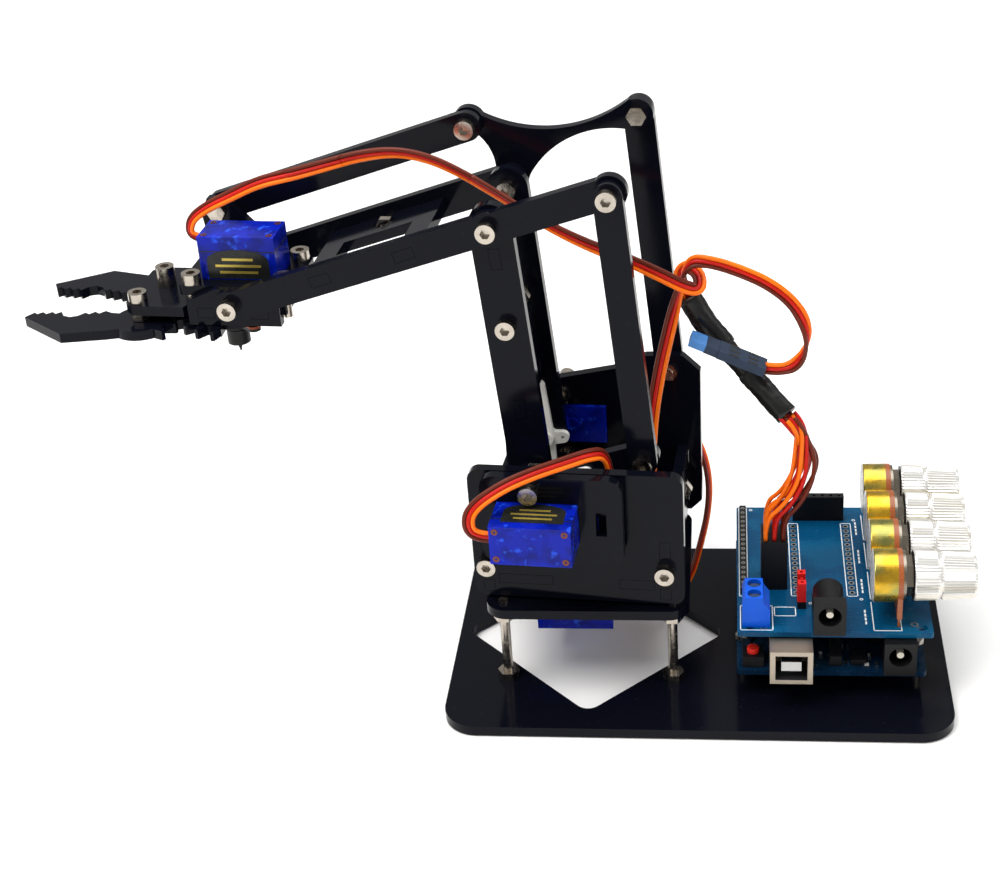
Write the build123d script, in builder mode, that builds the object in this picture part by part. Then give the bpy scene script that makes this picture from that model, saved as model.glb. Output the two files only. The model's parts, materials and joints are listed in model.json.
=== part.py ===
"""Desktop robot arm: laser-cut 3 mm acrylic plates, four micro servos and a controller on one base.

Millimetres, +Z up. The origin is the base yaw axis on the underside of the base plate.
The arm is drawn in a side view: u runs along the arm towards the gripper, v towards the near
side and w is the height. Everything is shown with the arm at its resting angles.
"""
import os
from math import cos, radians, sin, sqrt, tan

from build123d import *

os.makedirs("parts", exist_ok=True)

# ---- driving dimensions -------------------------------------------------------------------
SHEET = 3.0                # acrylic thickness
GAP = 0.3                  # side gap between plates that turn past each other
M3_SHANK = 2.9
M3_BORE = 3.0              # running fit on the M3 shank
M3_HEAD, M3_HEAD_HIGH = 5.5, 3.0
M3_NUT_AF, M3_NUT_HIGH = 5.5, 2.4
HEX_KEY = 2.5

# base
BASE_LEFT, BASE_RIGHT = -41.7, 103.7
BASE_FRONT, BASE_BACK = -47.2, 46.0
BASE_CORNER = 10.0
DIAMOND_HALF, DIAMOND_CORNER = 39.6, 4.0
STAND_X, STAND_Y = 24.4, 22.7          # stand-off screws, from the yaw axis
SERVO_PLATE_X, SERVO_PLATE_Y = 58.8, 54.4
SERVO_PLATE_TOP = 29.6
SERVO_PLATE_UNDER = SERVO_PLATE_TOP - SHEET

# arm attitude at rest
YAW_REST = 4.67
SHOULDER_U, SHOULDER_W = 15.3, 60.2
LINK = 80.0                # shoulder to elbow, and elbow to wrist
CRANK = 35.0               # lever length, and the forearm's tail
LOWER_ANGLE, FORE_ANGLE = 84.9, -18.1
TRI_FRONT = (11.85, 16.0)              # triangle corners, from the elbow
TRI_REAR = (-36.0, 18.35)
LOWER_WIDE, FORE_WIDE, ROD_WIDE = 12.0, 8.6, 8.0

# side-to-side stack: the near face of each plate
NEAR_PLATE_V = 23.0
ROD_V = 12.8
FORE_V = 9.5
LOWER_V = 6.2
LOWER_FAR_V = -19.7
FORE_FAR_V = -25.2
FAR_PLATE_V = -28.5
REAR_LINK_V = FAR_PLATE_V - SHEET - GAP
FLOOR_UNDER = 35.4
SIDE_BOTTOM, SIDE_TOP = 30.8, 73.2
CROSS_FRONT_U, CROSS_REAR_U = 25.0, -26.3

# micro servo, measured from its mounting face and its output shaft
SERVO_LONG, SERVO_WIDE = 22.8, 12.2
SHAFT_END = 5.9            # shaft to the nearer end of the case
SERVO_BELOW, SERVO_ABOVE = 18.4, 4.3
TAB_LONG, TAB_THICK = 32.2, 2.5
TAB_HOLE, TAB_SLIT = 13.9, 15.4        # from the middle of the case
SERVO_MIDDLE = SHAFT_END - SERVO_LONG / 2
BOSS, BOSS_TOP = 11.8, 8.5
SPLINE, SPLINE_TOP = 4.8, 11.7

# gripper
GRIP_V = -8.0              # centre line
GRIP_SERVO_U = 103.9
MAIN_PLATE_W = 113.1       # top of the plate that carries the jaws
JAW_TOP = 107.5
GEAR_MODULE = 1.5
JAW_TEETH, DRIVE_TEETH = 14, 22
JAW_R = GEAR_MODULE * JAW_TEETH / 2
DRIVE_R = GEAR_MODULE * DRIVE_TEETH / 2
JAW_PIVOT_U = GRIP_SERVO_U + sqrt((JAW_R + DRIVE_R) ** 2 - JAW_R ** 2)

# controller and shield
BOARD_LEFT, BOARD_FRONT, BOARD_TOP = 42.85, -30.4, 11.7
BOARD_X, BOARD_Y, BOARD_THICK = 53.34, 68.58, 1.6
SHIELD_LEFT, SHIELD_FRONT, SHIELD_TOP = 43.0, -29.9, 24.8
SHIELD_X, SHIELD_Y = 54.6, 66.4
POT_COUNT, POT_PITCH = 4, 15.5
POT_Y, POT_HIGH = -21.3, 13.9
POT_CAN_X, POT_CAN_R = 80.6, 7.6

# ---- arm frame ----------------------------------------------------------------------------
ALONG = Vector(-cos(radians(YAW_REST)), sin(radians(YAW_REST)), 0)
NEARWARD = Vector(-sin(radians(YAW_REST)), -cos(radians(YAW_REST)), 0)
UP = Vector(0, 0, 1)


def arm_point(u, v, w):
    """A point of the arm's side view in the part's own frame."""
    return ALONG * u + NEARWARD * v + UP * w


def side_plane(v, u=0.0, w=0.0, facing=-1):
    """Side-view plane at v. It extrudes away from the near side, or towards it if facing is 1."""
    return Plane(origin=arm_point(u, v, w), x_dir=ALONG, z_dir=NEARWARD * facing)


def level_plane(w, u=0.0, v=0.0, facing=1):
    """Horizontal plane with x along the arm."""
    return Plane(origin=arm_point(u, v, w), x_dir=ALONG, z_dir=UP * facing)


def cross_plane(u):
    """Plane across the arm at u: x runs to the near side and y runs up."""
    return Plane(origin=arm_point(u, 0, 0), x_dir=NEARWARD, z_dir=NEARWARD.cross(UP))


def polar(length, angle, start=(0.0, 0.0)):
    """The point at a length and angle from start, in a plane."""
    return (start[0] + length * cos(radians(angle)), start[1] + length * sin(radians(angle)))


def shifted(start, offset):
    return (start[0] + offset[0], start[1] + offset[1])


SHOULDER = (SHOULDER_U, SHOULDER_W)
ELBOW = polar(LINK, LOWER_ANGLE, SHOULDER)
WRIST = polar(LINK, FORE_ANGLE, ELBOW)
TAIL = polar(-CRANK, FORE_ANGLE, ELBOW)
LEVER_END = polar(-CRANK, FORE_ANGLE, SHOULDER)
TRI_TOP = shifted(ELBOW, TRI_FRONT)
TRI_BACK = shifted(ELBOW, TRI_REAR)
REAR_PIVOT = shifted(SHOULDER, TRI_REAR)
GRIP_TOP = shifted(WRIST, TRI_FRONT)


def write(built, name):
    """Label one finished sub-part and write its STEP file."""
    built.part.label = name
    export_step(built.part, f"parts/{name}.step")


# ---- shared pieces, called inside a BuildPart ---------------------------------------------
def cap_screw(seat, length, head=M3_HEAD, head_high=M3_HEAD_HIGH, shank=M3_SHANK, key=HEX_KEY):
    """Socket cap screw. The seat plane lies under the head and points along the shank."""
    with BuildSketch(seat) as outline:
        Circle(head / 2)
    extrude(outline.sketch, amount=-head_high)
    with BuildSketch(seat) as outline:
        Circle(shank / 2)
    extrude(outline.sketch, amount=length)
    with BuildSketch(seat.offset(-head_high)) as outline:
        RegularPolygon(key / 2, 6, major_radius=False)
    extrude(outline.sketch, amount=head_high * 0.55, mode=Mode.SUBTRACT)


def hex_nut(seat, bore=M3_SHANK, across=M3_NUT_AF, high=M3_NUT_HIGH):
    """Hex nut on the seat plane, standing along its normal."""
    with BuildSketch(seat) as outline:
        RegularPolygon(across / 2, 6, major_radius=False)
        Circle(bore / 2, mode=Mode.SUBTRACT)
    extrude(outline.sketch, amount=high)


def spacer(seat, high, outer=6.0, bore=M3_BORE):
    with BuildSketch(seat) as outline:
        Circle(outer / 2)
        Circle(bore / 2, mode=Mode.SUBTRACT)
    extrude(outline.sketch, amount=high)


def drill(plane, points, diameter, depth=SHEET):
    """Round holes through a plate from the given plane."""
    with BuildSketch(plane) as outline:
        with Locations(*points):
            Circle(diameter / 2)
    extrude(outline.sketch, amount=depth, mode=Mode.SUBTRACT)


def block(plane, low, high, height, mode=Mode.ADD):
    """Rectangular block between two corners of a plane, raised along its normal."""
    middle = ((low[0] + high[0]) / 2, (low[1] + high[1]) / 2)
    with BuildSketch(plane) as outline:
        with Locations(middle):
            Rectangle(abs(high[0] - low[0]), abs(high[1] - low[1]))
    extrude(outline.sketch, amount=height, mode=mode)


def bar(plane, start, end, width, thickness=SHEET):
    """Link with round ends between two pivot points."""
    run = Vector(end[0] - start[0], end[1] - start[1], 0)
    angle = Vector(1, 0, 0).get_signed_angle(run, Vector(0, 0, 1))
    with BuildSketch(plane) as outline:
        with Locations(((start[0] + end[0]) / 2, (start[1] + end[1]) / 2)):
            SlotCenterToCenter(run.length, width, rotation=angle)
    extrude(outline.sketch, amount=thickness)


def servo_case(mount):
    """Micro servo case. The mount plane is its mounting face at the shaft, pointing out."""
    half = SERVO_WIDE / 2
    block(mount.offset(-SERVO_BELOW), (SHAFT_END - SERVO_LONG, -half), (SHAFT_END, half),
          SERVO_BELOW + SERVO_ABOVE)
    block(mount.offset(-TAB_THICK), (SERVO_MIDDLE - TAB_LONG / 2, -half),
          (SERVO_MIDDLE + TAB_LONG / 2, half), TAB_THICK)
    with BuildSketch(mount.offset(SERVO_ABOVE)) as outline:
        Circle(BOSS / 2)
    extrude(outline.sketch, amount=BOSS_TOP - SERVO_ABOVE)
    with BuildSketch(mount.offset(SERVO_ABOVE)) as outline:
        with Locations((-BOSS / 2 - 0.6, 0)):
            Circle(2.5)
    extrude(outline.sketch, amount=1.0)
    drill(mount.offset(-TAB_THICK), [(SERVO_MIDDLE - TAB_HOLE, 0), (SERVO_MIDDLE + TAB_HOLE, 0)], 2.1,
          TAB_THICK)
    with BuildSketch(mount.offset(-TAB_THICK)) as outline:
        with Locations((SERVO_MIDDLE - TAB_SLIT, 0), (SERVO_MIDDLE + TAB_SLIT, 0)):
            Rectangle(1.8, 1.2)
    extrude(outline.sketch, amount=TAB_THICK, mode=Mode.SUBTRACT)
    drill(mount.offset(SERVO_ABOVE + 0.4), [(0, 0)], SPLINE + 0.1, BOSS_TOP)


def servo_horn(mount, arms, blade_low, blade_thick=1.6, hub_low=BOSS_TOP + 0.2, hub=7.0):
    """Output shaft with its pressed-on horn: arms is a list of (angle, reach) pairs."""
    blade_high = blade_low + blade_thick
    hub_high = max(blade_high, SPLINE_TOP + 0.8)
    with BuildSketch(mount.offset(SERVO_ABOVE + 0.5)) as outline:
        Circle(SPLINE / 2)
    extrude(outline.sketch, amount=SPLINE_TOP - SERVO_ABOVE - 0.5)
    with BuildSketch(mount.offset(hub_low)) as outline:
        Circle(hub / 2)
    extrude(outline.sketch, amount=hub_high - hub_low)
    with BuildSketch(mount.offset(blade_low)) as outline:
        for angle, reach in arms:
            root = polar(2.4, angle + 90), polar(2.4, angle - 90)
            tip = polar(1.9, angle - 90, polar(reach, angle)), polar(1.9, angle + 90, polar(reach, angle))
            Polygon(root[0], root[1], tip[0], tip[1], align=None)
            with Locations(polar(reach, angle)):
                Circle(1.9)
        with Locations(*[polar(reach - 2.0 * hole, angle) for angle, reach in arms for hole in (0, 1)]):
            Circle(0.5, mode=Mode.SUBTRACT)
    extrude(outline.sketch, amount=blade_thick)
    with BuildSketch(mount.offset(hub_high)) as outline:
        Circle(2.2)
    extrude(outline.sketch, amount=1.2)
    with BuildSketch(mount.offset(hub_high + 1.2)) as outline:
        Rectangle(2.6, 0.6)
        Rectangle(0.6, 2.6)
    extrude(outline.sketch, amount=-0.8, mode=Mode.SUBTRACT)


def servo_window(plane):
    """Opening for a servo case in a plate, in a plane whose origin is the shaft axis."""
    block(plane, (SHAFT_END - SERVO_LONG - 0.2, -SERVO_WIDE / 2 - 0.2),
          (SHAFT_END + 0.2, SERVO_WIDE / 2 + 0.2), SHEET, Mode.SUBTRACT)


# ---- base ---------------------------------------------------------------------------------
STAND_POINTS = [(x, y) for x in (-STAND_X, STAND_X) for y in (-STAND_Y, STAND_Y)]
BOARD_HOLES = [(BOARD_LEFT + x, BOARD_FRONT + y)
               for x, y in ((50.8, 13.97), (2.54, 15.24), (45.72, 66.04), (17.78, 66.04))]

with BuildPart() as base_plate:
    with BuildSketch():
        with Locations(((BASE_LEFT + BASE_RIGHT) / 2, (BASE_FRONT + BASE_BACK) / 2)):
            RectangleRounded(BASE_RIGHT - BASE_LEFT, BASE_BACK - BASE_FRONT, BASE_CORNER)
        RectangleRounded(DIAMOND_HALF * sqrt(2), DIAMOND_HALF * sqrt(2), DIAMOND_CORNER,
                         rotation=45, mode=Mode.SUBTRACT)
    extrude(amount=SHEET)
    for point in STAND_POINTS + BOARD_HOLES:
        with Locations((point[0], point[1], 0)):
            Cone(M3_HEAD / 2, M3_SHANK / 2, 1.6, align=(Align.CENTER, Align.CENTER, Align.MIN),
                 mode=Mode.SUBTRACT)
            Cylinder(M3_SHANK / 2, SHEET, align=(Align.CENTER, Align.CENTER, Align.MIN),
                     mode=Mode.SUBTRACT)
write(base_plate, "base_plate")

with BuildPart() as servo_plate:
    with BuildSketch(Plane.XY.offset(SERVO_PLATE_UNDER)):
        RectangleRounded(SERVO_PLATE_X, SERVO_PLATE_Y, 6)
        with Locations(*STAND_POINTS):
            Circle(M3_SHANK / 2, mode=Mode.SUBTRACT)
        with Locations((SERVO_MIDDLE, 0)):
            Rectangle(SERVO_LONG + 0.4, SERVO_WIDE + 0.4, mode=Mode.SUBTRACT)
        with Locations((SERVO_MIDDLE - TAB_HOLE, 0), (SERVO_MIDDLE + TAB_HOLE, 0)):
            Circle(0.9, mode=Mode.SUBTRACT)
    extrude(amount=SHEET)
write(servo_plate, "servo_plate")


def countersunk_screw(x, y, length):
    """Flat-headed M3 screw standing up from the underside of the base."""
    with Locations((x, y, 0)):
        Cone(M3_HEAD / 2, M3_SHANK / 2, 1.6, align=(Align.CENTER, Align.CENTER, Align.MIN))
        Cylinder(M3_SHANK / 2, length, align=(Align.CENTER, Align.CENTER, Align.MIN))


with BuildPart() as base_fasteners:
    for x, y in STAND_POINTS:
        countersunk_screw(x, y, 30.4)
    for x, y in BOARD_HOLES:
        countersunk_screw(x, y, 14.5)
    for side in (-1, 1):
        tab_hole = SERVO_MIDDLE + TAB_HOLE * side
        with Locations((tab_hole, 0, SERVO_PLATE_UNDER - TAB_THICK - 1.4)):
            Cylinder(1.8, 1.4, align=(Align.CENTER, Align.CENTER, Align.MIN))
            Cylinder(0.9, 6.2, align=(Align.CENTER, Align.CENTER, Align.MIN))
    for x, y in STAND_POINTS:
        for height in (SHEET, SERVO_PLATE_UNDER - M3_NUT_HIGH):
            hex_nut(Plane(origin=(x, y, height)))
    for x, y in BOARD_HOLES:
        hex_nut(Plane(origin=(x, y, BOARD_TOP)), across=5.0, high=2.0)
        spacer(Plane(origin=(x, y, SHEET)), BOARD_TOP - BOARD_THICK - SHEET, outer=5.0, bore=M3_SHANK)
write(base_fasteners, "base_fasteners")

BASE_MOUNT = Plane(origin=(0, 0, SERVO_PLATE_UNDER))
with BuildPart() as base_servo:
    servo_case(BASE_MOUNT)
write(base_servo, "base_servo")

# ---- controller board ---------------------------------------------------------------------
USB_X, USB_WIDE, USB_HIGH, USB_LONG, USB_OVER = 15.2, 12.0, 11.0, 16.3, 6.2
JACK_X, JACK_WIDE, JACK_HIGH, JACK_LONG, JACK_OVER = 45.7, 9.0, 10.9, 13.1, 1.8
SHIELD_JACK_X = 68.7
with BuildPart() as controller_board:
    with BuildSketch(Plane.XY.offset(BOARD_TOP - BOARD_THICK)):
        with Locations((BOARD_LEFT + BOARD_X / 2, BOARD_FRONT + BOARD_Y / 2)):
            RectangleRounded(BOARD_X, BOARD_Y, 1.2)
        with Locations(*BOARD_HOLES):
            Circle(1.6, mode=Mode.SUBTRACT)
    extrude(amount=BOARD_THICK)
write(controller_board, "controller_board")


def on_board(x, y, height=0.0):
    """Plane on the controller board's top, from its front left corner."""
    return Plane(origin=(BOARD_LEFT + x, BOARD_FRONT + y, BOARD_TOP + height))


def usb_socket():
    """USB type B socket with its mouth facing -Y."""
    shell = on_board(USB_X, -USB_OVER)
    block(shell, (-USB_WIDE / 2, 0), (USB_WIDE / 2, USB_LONG), USB_HIGH)
    mouth = Plane(origin=shell.origin + Vector(0, 0, USB_HIGH / 2), x_dir=(1, 0, 0), z_dir=(0, -1, 0))
    block(mouth, (-4.4, -4.0), (4.4, 4.0), -9.0, Mode.SUBTRACT)
    block(mouth.offset(-9.0), (-2.8, -1.5), (2.8, 1.7), 8.2)


def power_jack(x, y, height):
    """Barrel jack with its mouth facing -Y and its front lower edge at the given point."""
    base = Plane(origin=(x, y, height))
    block(base, (-JACK_WIDE / 2, 0), (JACK_WIDE / 2, 3.4), JACK_HIGH)
    block(base, (-JACK_WIDE / 2, 3.4), (JACK_WIDE / 2, JACK_LONG), 5.2)
    mouth = Plane(origin=(x, y, height + 6.4), x_dir=(1, 0, 0), z_dir=(0, -1, 0))
    with BuildSketch(mouth.offset(-3.4)) as outline:
        Circle(4.3)
    extrude(outline.sketch, amount=3.4 - JACK_LONG)
    with BuildSketch(mouth) as outline:
        Circle(3.2)
    extrude(outline.sketch, amount=-10.5, mode=Mode.SUBTRACT)
    with BuildSketch(mouth.offset(-10.5)) as outline:
        Circle(1.0)
    extrude(outline.sketch, amount=9.5)


with BuildPart() as board_sockets:
    usb_socket()
    power_jack(BOARD_LEFT + JACK_X, BOARD_FRONT - JACK_OVER, BOARD_TOP)
    power_jack(SHIELD_JACK_X, SHIELD_FRONT - 1.5, SHIELD_TOP)
write(board_sockets, "board_sockets")

DIGITAL_X, ANALOG_X = 2.54, 50.8
with BuildPart() as controller_parts:
    for x, low, high in ((DIGITAL_X, 18.5, 44.0), (DIGITAL_X, 45.2, 65.6),
                         (ANALOG_X, 27.0, 47.4), (ANALOG_X, 49.8, 65.1)):
        block(on_board(x, 0), (-1.25, low), (1.25, high), 8.5)
    block(on_board(32.0, 45.0), (-3.6, -17.5), (3.6, 17.5), 3.6)
    block(on_board(24.0, 20.0), (-3.5, -3.5), (3.5, 3.5), 1.0)
    block(on_board(34.5, 5.5), (-2.2, -2.6), (2.2, 2.6), 1.8)
    block(on_board(28.0, 8.0), (-1.7, -5.6), (1.7, 5.6), 3.4)
    for y in (16.0, 22.5):
        with BuildSketch(on_board(40.5, y)):
            Circle(3.1)
        extrude(amount=5.4)
    block(on_board(4.6, 4.4), (-3.0, -3.0), (3.0, 3.0), 3.6)
    drill(on_board(4.6, 4.4, 1.6), [(0, 0)], 3.6, 2.0)
write(controller_parts, "controller_parts")

with BuildPart() as reset_button:
    with BuildSketch(on_board(4.6, 4.4, 2.6)):
        Circle(1.7)
    extrude(amount=2.5)
    fillet(reset_button.edges().sort_by(Axis.Z)[-1], 0.3)
write(reset_button, "reset_button")

# ---- shield -------------------------------------------------------------------------------
SHIELD_UNDER = SHIELD_TOP - BOARD_THICK
PIN_PITCH = 2.54
with BuildPart() as shield_board:
    with BuildSketch(Plane.XY.offset(SHIELD_UNDER)):
        with Locations((SHIELD_LEFT + SHIELD_X / 2, SHIELD_FRONT + SHIELD_Y / 2)):
            RectangleRounded(SHIELD_X, SHIELD_Y, 0.8)
        with Locations((46.6, -28.0 + 1.0), (94.6, -27.0)):
            Circle(1.5, mode=Mode.SUBTRACT)
        for row in (60.2, 76.2):
            with Locations(*[(row, -10.2 + PIN_PITCH * i) for i in range(15)]):
                Circle(0.5, mode=Mode.SUBTRACT)
    extrude(amount=BOARD_THICK)
write(shield_board, "shield_board")


def pin_strip(x, y, count_x, count_y, plastic, bottom, tall):
    """Header plastic with square pins, its corner pin at x, y and the plastic on bottom."""
    block(Plane(origin=(x, y, bottom)), (-1.25, -1.25),
          (PIN_PITCH * (count_x - 1) + 1.25, PIN_PITCH * (count_y - 1) + 1.25), plastic)
    for i in range(count_x):
        for j in range(count_y):
            block(Plane(origin=(x + PIN_PITCH * i, y + PIN_PITCH * j, bottom + plastic)),
                  (-0.32, -0.32), (0.32, 0.32), tall)


with BuildPart() as shield_headers:
    for x, low, high in ((DIGITAL_X, 18.5, 44.0), (DIGITAL_X, 45.2, 65.6),
                         (ANALOG_X, 27.0, 47.4), (ANALOG_X, 49.8, 65.1)):
        block(on_board(x, 0, 8.5), (-1.25, low), (1.25, high), SHIELD_UNDER - BOARD_TOP - 8.5)
    block(Plane(origin=(44.9, 0, SHIELD_TOP)), (-1.0, -10.9), (1.0, 34.6), 1.9)
    pin_strip(51.2, -7.6, 3, 4, 2.5, SHIELD_TOP, 5.6)
    pin_strip(61.4, -17.2, 1, 3, 2.5, SHIELD_TOP, 5.6)
    for index in (0, 2):
        cap = Plane(origin=(61.4, -17.2 + PIN_PITCH * index, SHIELD_TOP + 2.6))
        block(cap, (-1.15, -1.15), (1.15, 1.15), 6.0)
        block(cap, (-0.4, -0.4), (0.4, 0.4), 6.0, Mode.SUBTRACT)
    block(Plane(origin=(68.0, 30.0, SHIELD_TOP)), (-7.7, -1.27), (7.7, 1.27), 8.5)
    with BuildSketch(Plane(origin=(68.0, 30.0, SHIELD_TOP + 8.5))):
        with GridLocations(PIN_PITCH, 0, 6, 1):
            Rectangle(0.9, 0.9)
    extrude(amount=-6.5, mode=Mode.SUBTRACT)
write(shield_headers, "shield_headers")

with BuildPart() as screw_terminal:
    with BuildSketch(Plane(origin=(0, -17.4, SHIELD_TOP), x_dir=(1, 0, 0), z_dir=(0, -1, 0))):
        with BuildLine():
            Polyline((44.4, 0), (52.2, 0), (52.2, 5.6), (50.6, 8.0), (50.2, 10.0), (45.2, 10.0),
                     (44.4, 8.0), close=True)
        make_face()
    extrude(amount=10.2)
    for y in (-19.95, -25.05):
        drill(Plane(origin=(47.8, y, SHIELD_TOP + 10.0)), [(0, 0)], 3.9, -4.0)
        block(Plane(origin=(52.2, y, SHIELD_TOP + 2.6), x_dir=(0, 1, 0), z_dir=(1, 0, 0)),
              (-1.7, -1.6), (1.7, 1.6), -3.2, Mode.SUBTRACT)
    for y in (-19.95, -25.05):
        with BuildSketch(Plane(origin=(47.8, y, SHIELD_TOP + 6.0))):
            Circle(1.9)
        extrude(amount=2.6)
        block(Plane(origin=(47.8, y, SHIELD_TOP + 8.6)), (-1.8, -0.35), (1.8, 0.35), -1.0, Mode.SUBTRACT)
write(screw_terminal, "screw_terminal")

POT_W = SHIELD_TOP + POT_HIGH
POT_CENTRES = [POT_Y + POT_PITCH * i for i in range(POT_COUNT)]


def pot_plane(y, x):
    """Plane across a potentiometer's axis at x, pointing to the knob."""
    return Plane(origin=(x, y, POT_W), x_dir=(0, 1, 0), z_dir=(1, 0, 0))


POT_FACE_X = POT_CAN_X + 8.2
with BuildPart() as potentiometers:
    for y in POT_CENTRES:
        with BuildSketch(pot_plane(y, POT_CAN_X)):
            Circle(POT_CAN_R)
        extrude(amount=6.8)
    fillet(potentiometers.edges().filter_by(GeomType.CIRCLE).group_by(Axis.X)[0], 0.6)
    for y in POT_CENTRES:
        with BuildSketch(pot_plane(y, POT_CAN_X + 6.8)):
            Circle(POT_CAN_R)
            with Locations((0, -7.0)):
                Rectangle(13.2, 7.0)
        extrude(amount=1.4)
        with BuildSketch(pot_plane(y, POT_CAN_X + 7.2)):
            with Locations((-5.0, -12.2), (0, -12.2), (5.0, -12.2)):
                Rectangle(1.2, 3.4)
        extrude(amount=0.6)
    for y in POT_CENTRES:
        with BuildSketch(pot_plane(y, POT_FACE_X)):
            Circle(POT_CAN_R - 0.4)
        extrude(amount=0.8)
        with BuildSketch(pot_plane(y, POT_FACE_X + 0.8)):
            Circle(3.5)
        extrude(amount=4.2)
        hex_nut(pot_plane(y, POT_FACE_X + 0.8), bore=7.0, across=10.0, high=2.0)
        drill(pot_plane(y, POT_FACE_X), [(0, 0)], 6.0, 5.0)
write(potentiometers, "potentiometers")

KNOB_X, KNOB_LONG, KNOB_R = POT_FACE_X + 3.2, 17.2, 7.2
for number, y in enumerate(POT_CENTRES, start=1):
    with BuildPart() as knob:
        with BuildSketch(pot_plane(y, POT_FACE_X + 0.3)):
            Circle(2.93)
        extrude(amount=KNOB_X + 7.0 - POT_FACE_X)
        with BuildSketch(Plane(origin=(KNOB_X, y, POT_W), x_dir=(1, 0, 0), z_dir=(0, -1, 0))):
            with BuildLine():
                Polyline((2.4, 0), (2.4, 3.9), (0, 3.9), (0, KNOB_R - 0.2), (1.0, KNOB_R),
                         (6.6, KNOB_R - 0.3), (7.0, KNOB_R - 0.8), (7.6, KNOB_R - 0.4),
                         (16.4, KNOB_R - 0.9), (17.2, KNOB_R - 1.6), (KNOB_LONG, 0), close=True)
            make_face()
        revolve(axis=Axis((KNOB_X, y, POT_W), (1, 0, 0)))
    write(knob, f"knob_{number}")

# ---- turntable ----------------------------------------------------------------------------
NEAR_MOUNT = side_plane(NEAR_PLATE_V, *SHOULDER)
FAR_MOUNT = side_plane(FAR_PLATE_V - SHEET, *SHOULDER, facing=1)
NEAR_INNER, FAR_INNER = NEAR_PLATE_V - SHEET, FAR_PLATE_V
SLOT_FIT = 0.1
FLOOR_TABS = ((7.8, 23.4), (-21.6, -11.7))           # along u
CROSS_TABS = ((32.3, 36.0), (46.0, 51.6))            # up w
CROSS_SCREW_W = 41.8
CROSS_TOP = 54.0
COLLAR_SCREWS = ((11.8, SHOULDER_W + 9.8), (11.8, SHOULDER_W - 9.8))
T_SLOT_LONG, T_NUT_AT = 9.5, 5.0


def t_slot(plane, mouth, inward, across):
    """T-shaped slot for a captive nut, cut from a plate edge at mouth along inward."""
    length = Vector(*inward)
    side = Vector(*across)
    start = Vector(*mouth)
    with BuildSketch(plane) as outline:
        for low, high, half in ((-0.2, T_SLOT_LONG, 1.55),
                                (T_NUT_AT, T_NUT_AT + M3_NUT_HIGH + 0.2, 3.3)):
            corners = [start + length * low - side * half, start + length * high - side * half,
                       start + length * high + side * half, start + length * low + side * half]
            Polygon(*[(c.X, c.Y) for c in corners], align=None)
    extrude(outline.sketch, amount=SHEET, mode=Mode.SUBTRACT)


def side_slots(plane):
    """Tab slots and screw holes that both side plates share."""
    for low, high in FLOOR_TABS:
        block(plane, (low - SLOT_FIT, FLOOR_UNDER - SLOT_FIT),
              (high + SLOT_FIT, FLOOR_UNDER + SHEET + SLOT_FIT), SHEET, Mode.SUBTRACT)
    for u in (CROSS_FRONT_U, CROSS_REAR_U):
        for low, high in CROSS_TABS:
            block(plane, (u - SLOT_FIT, low - SLOT_FIT), (u + SHEET + SLOT_FIT, high + SLOT_FIT),
                  SHEET, Mode.SUBTRACT)
    drill(plane, [(u + SHEET / 2, CROSS_SCREW_W) for u in (CROSS_FRONT_U, CROSS_REAR_U)], M3_BORE)
    drill(plane, COLLAR_SCREWS, M3_BORE)


with BuildPart() as near_side_plate:
    with BuildSketch(side_plane(NEAR_PLATE_V)):
        with Locations((0.2, (SIDE_BOTTOM + SIDE_TOP) / 2)):
            RectangleRounded(60.8, SIDE_TOP - SIDE_BOTTOM, 3.5)
    extrude(amount=SHEET)
    servo_window(NEAR_MOUNT)
    side_slots(side_plane(NEAR_PLATE_V))
write(near_side_plate, "near_side_plate")

with BuildPart() as far_side_plate:
    with BuildSketch(side_plane(FAR_PLATE_V)):
        with BuildLine():
            Polyline((-27.0, SIDE_BOTTOM), (27.0, SIDE_BOTTOM), (30.4, SIDE_BOTTOM + 3.4), (30.4, 70.5),
                     (27.0, 73.6), (14.0, 75.0), (-4.5, 79.0), (-14.0, 83.6), (-25.0, 84.0),
                     (-30.2, 79.0), (-30.2, SIDE_BOTTOM + 3.4), close=True)
        make_face()
    extrude(amount=SHEET)
    servo_window(FAR_MOUNT)
    side_slots(side_plane(FAR_PLATE_V))
    drill(side_plane(FAR_PLATE_V), [REAR_PIVOT], M3_BORE)
    fillet(far_side_plate.edges().filter_by(Axis(arm_point(0, 0, 0), NEARWARD)).group_by(Axis.Z)[-1], 2.0)
write(far_side_plate, "far_side_plate")

with BuildPart() as floor_plate:
    floor = level_plane(FLOOR_UNDER)
    block(floor, (CROSS_REAR_U + SHEET, FAR_INNER), (CROSS_FRONT_U, NEAR_INNER), SHEET)
    for low, high in FLOOR_TABS:
        block(floor, (low, FAR_INNER - SHEET), (high, NEAR_INNER + SHEET), SHEET)
    drill(floor, [(0, 0)], 7.2)
    drill(floor, [(8.0, 0), (-8.0, 0), (0, 6.0), (0, -6.0)], 1.0)
write(floor_plate, "floor_plate")

with BuildPart() as cross_plates:
    for u in (CROSS_FRONT_U, CROSS_REAR_U):
        across = cross_plane(u)
        block(across, (FAR_INNER, SIDE_BOTTOM + 1.5), (NEAR_INNER, CROSS_TOP), SHEET)
        for low, high in CROSS_TABS:
            block(across, (FAR_INNER - SHEET, low), (NEAR_INNER + SHEET, high), SHEET)
        t_slot(across, (NEAR_INNER, CROSS_SCREW_W), (-1, 0), (0, 1))
        t_slot(across, (FAR_INNER, CROSS_SCREW_W), (1, 0), (0, 1))
write(cross_plates, "cross_plates")


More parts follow.
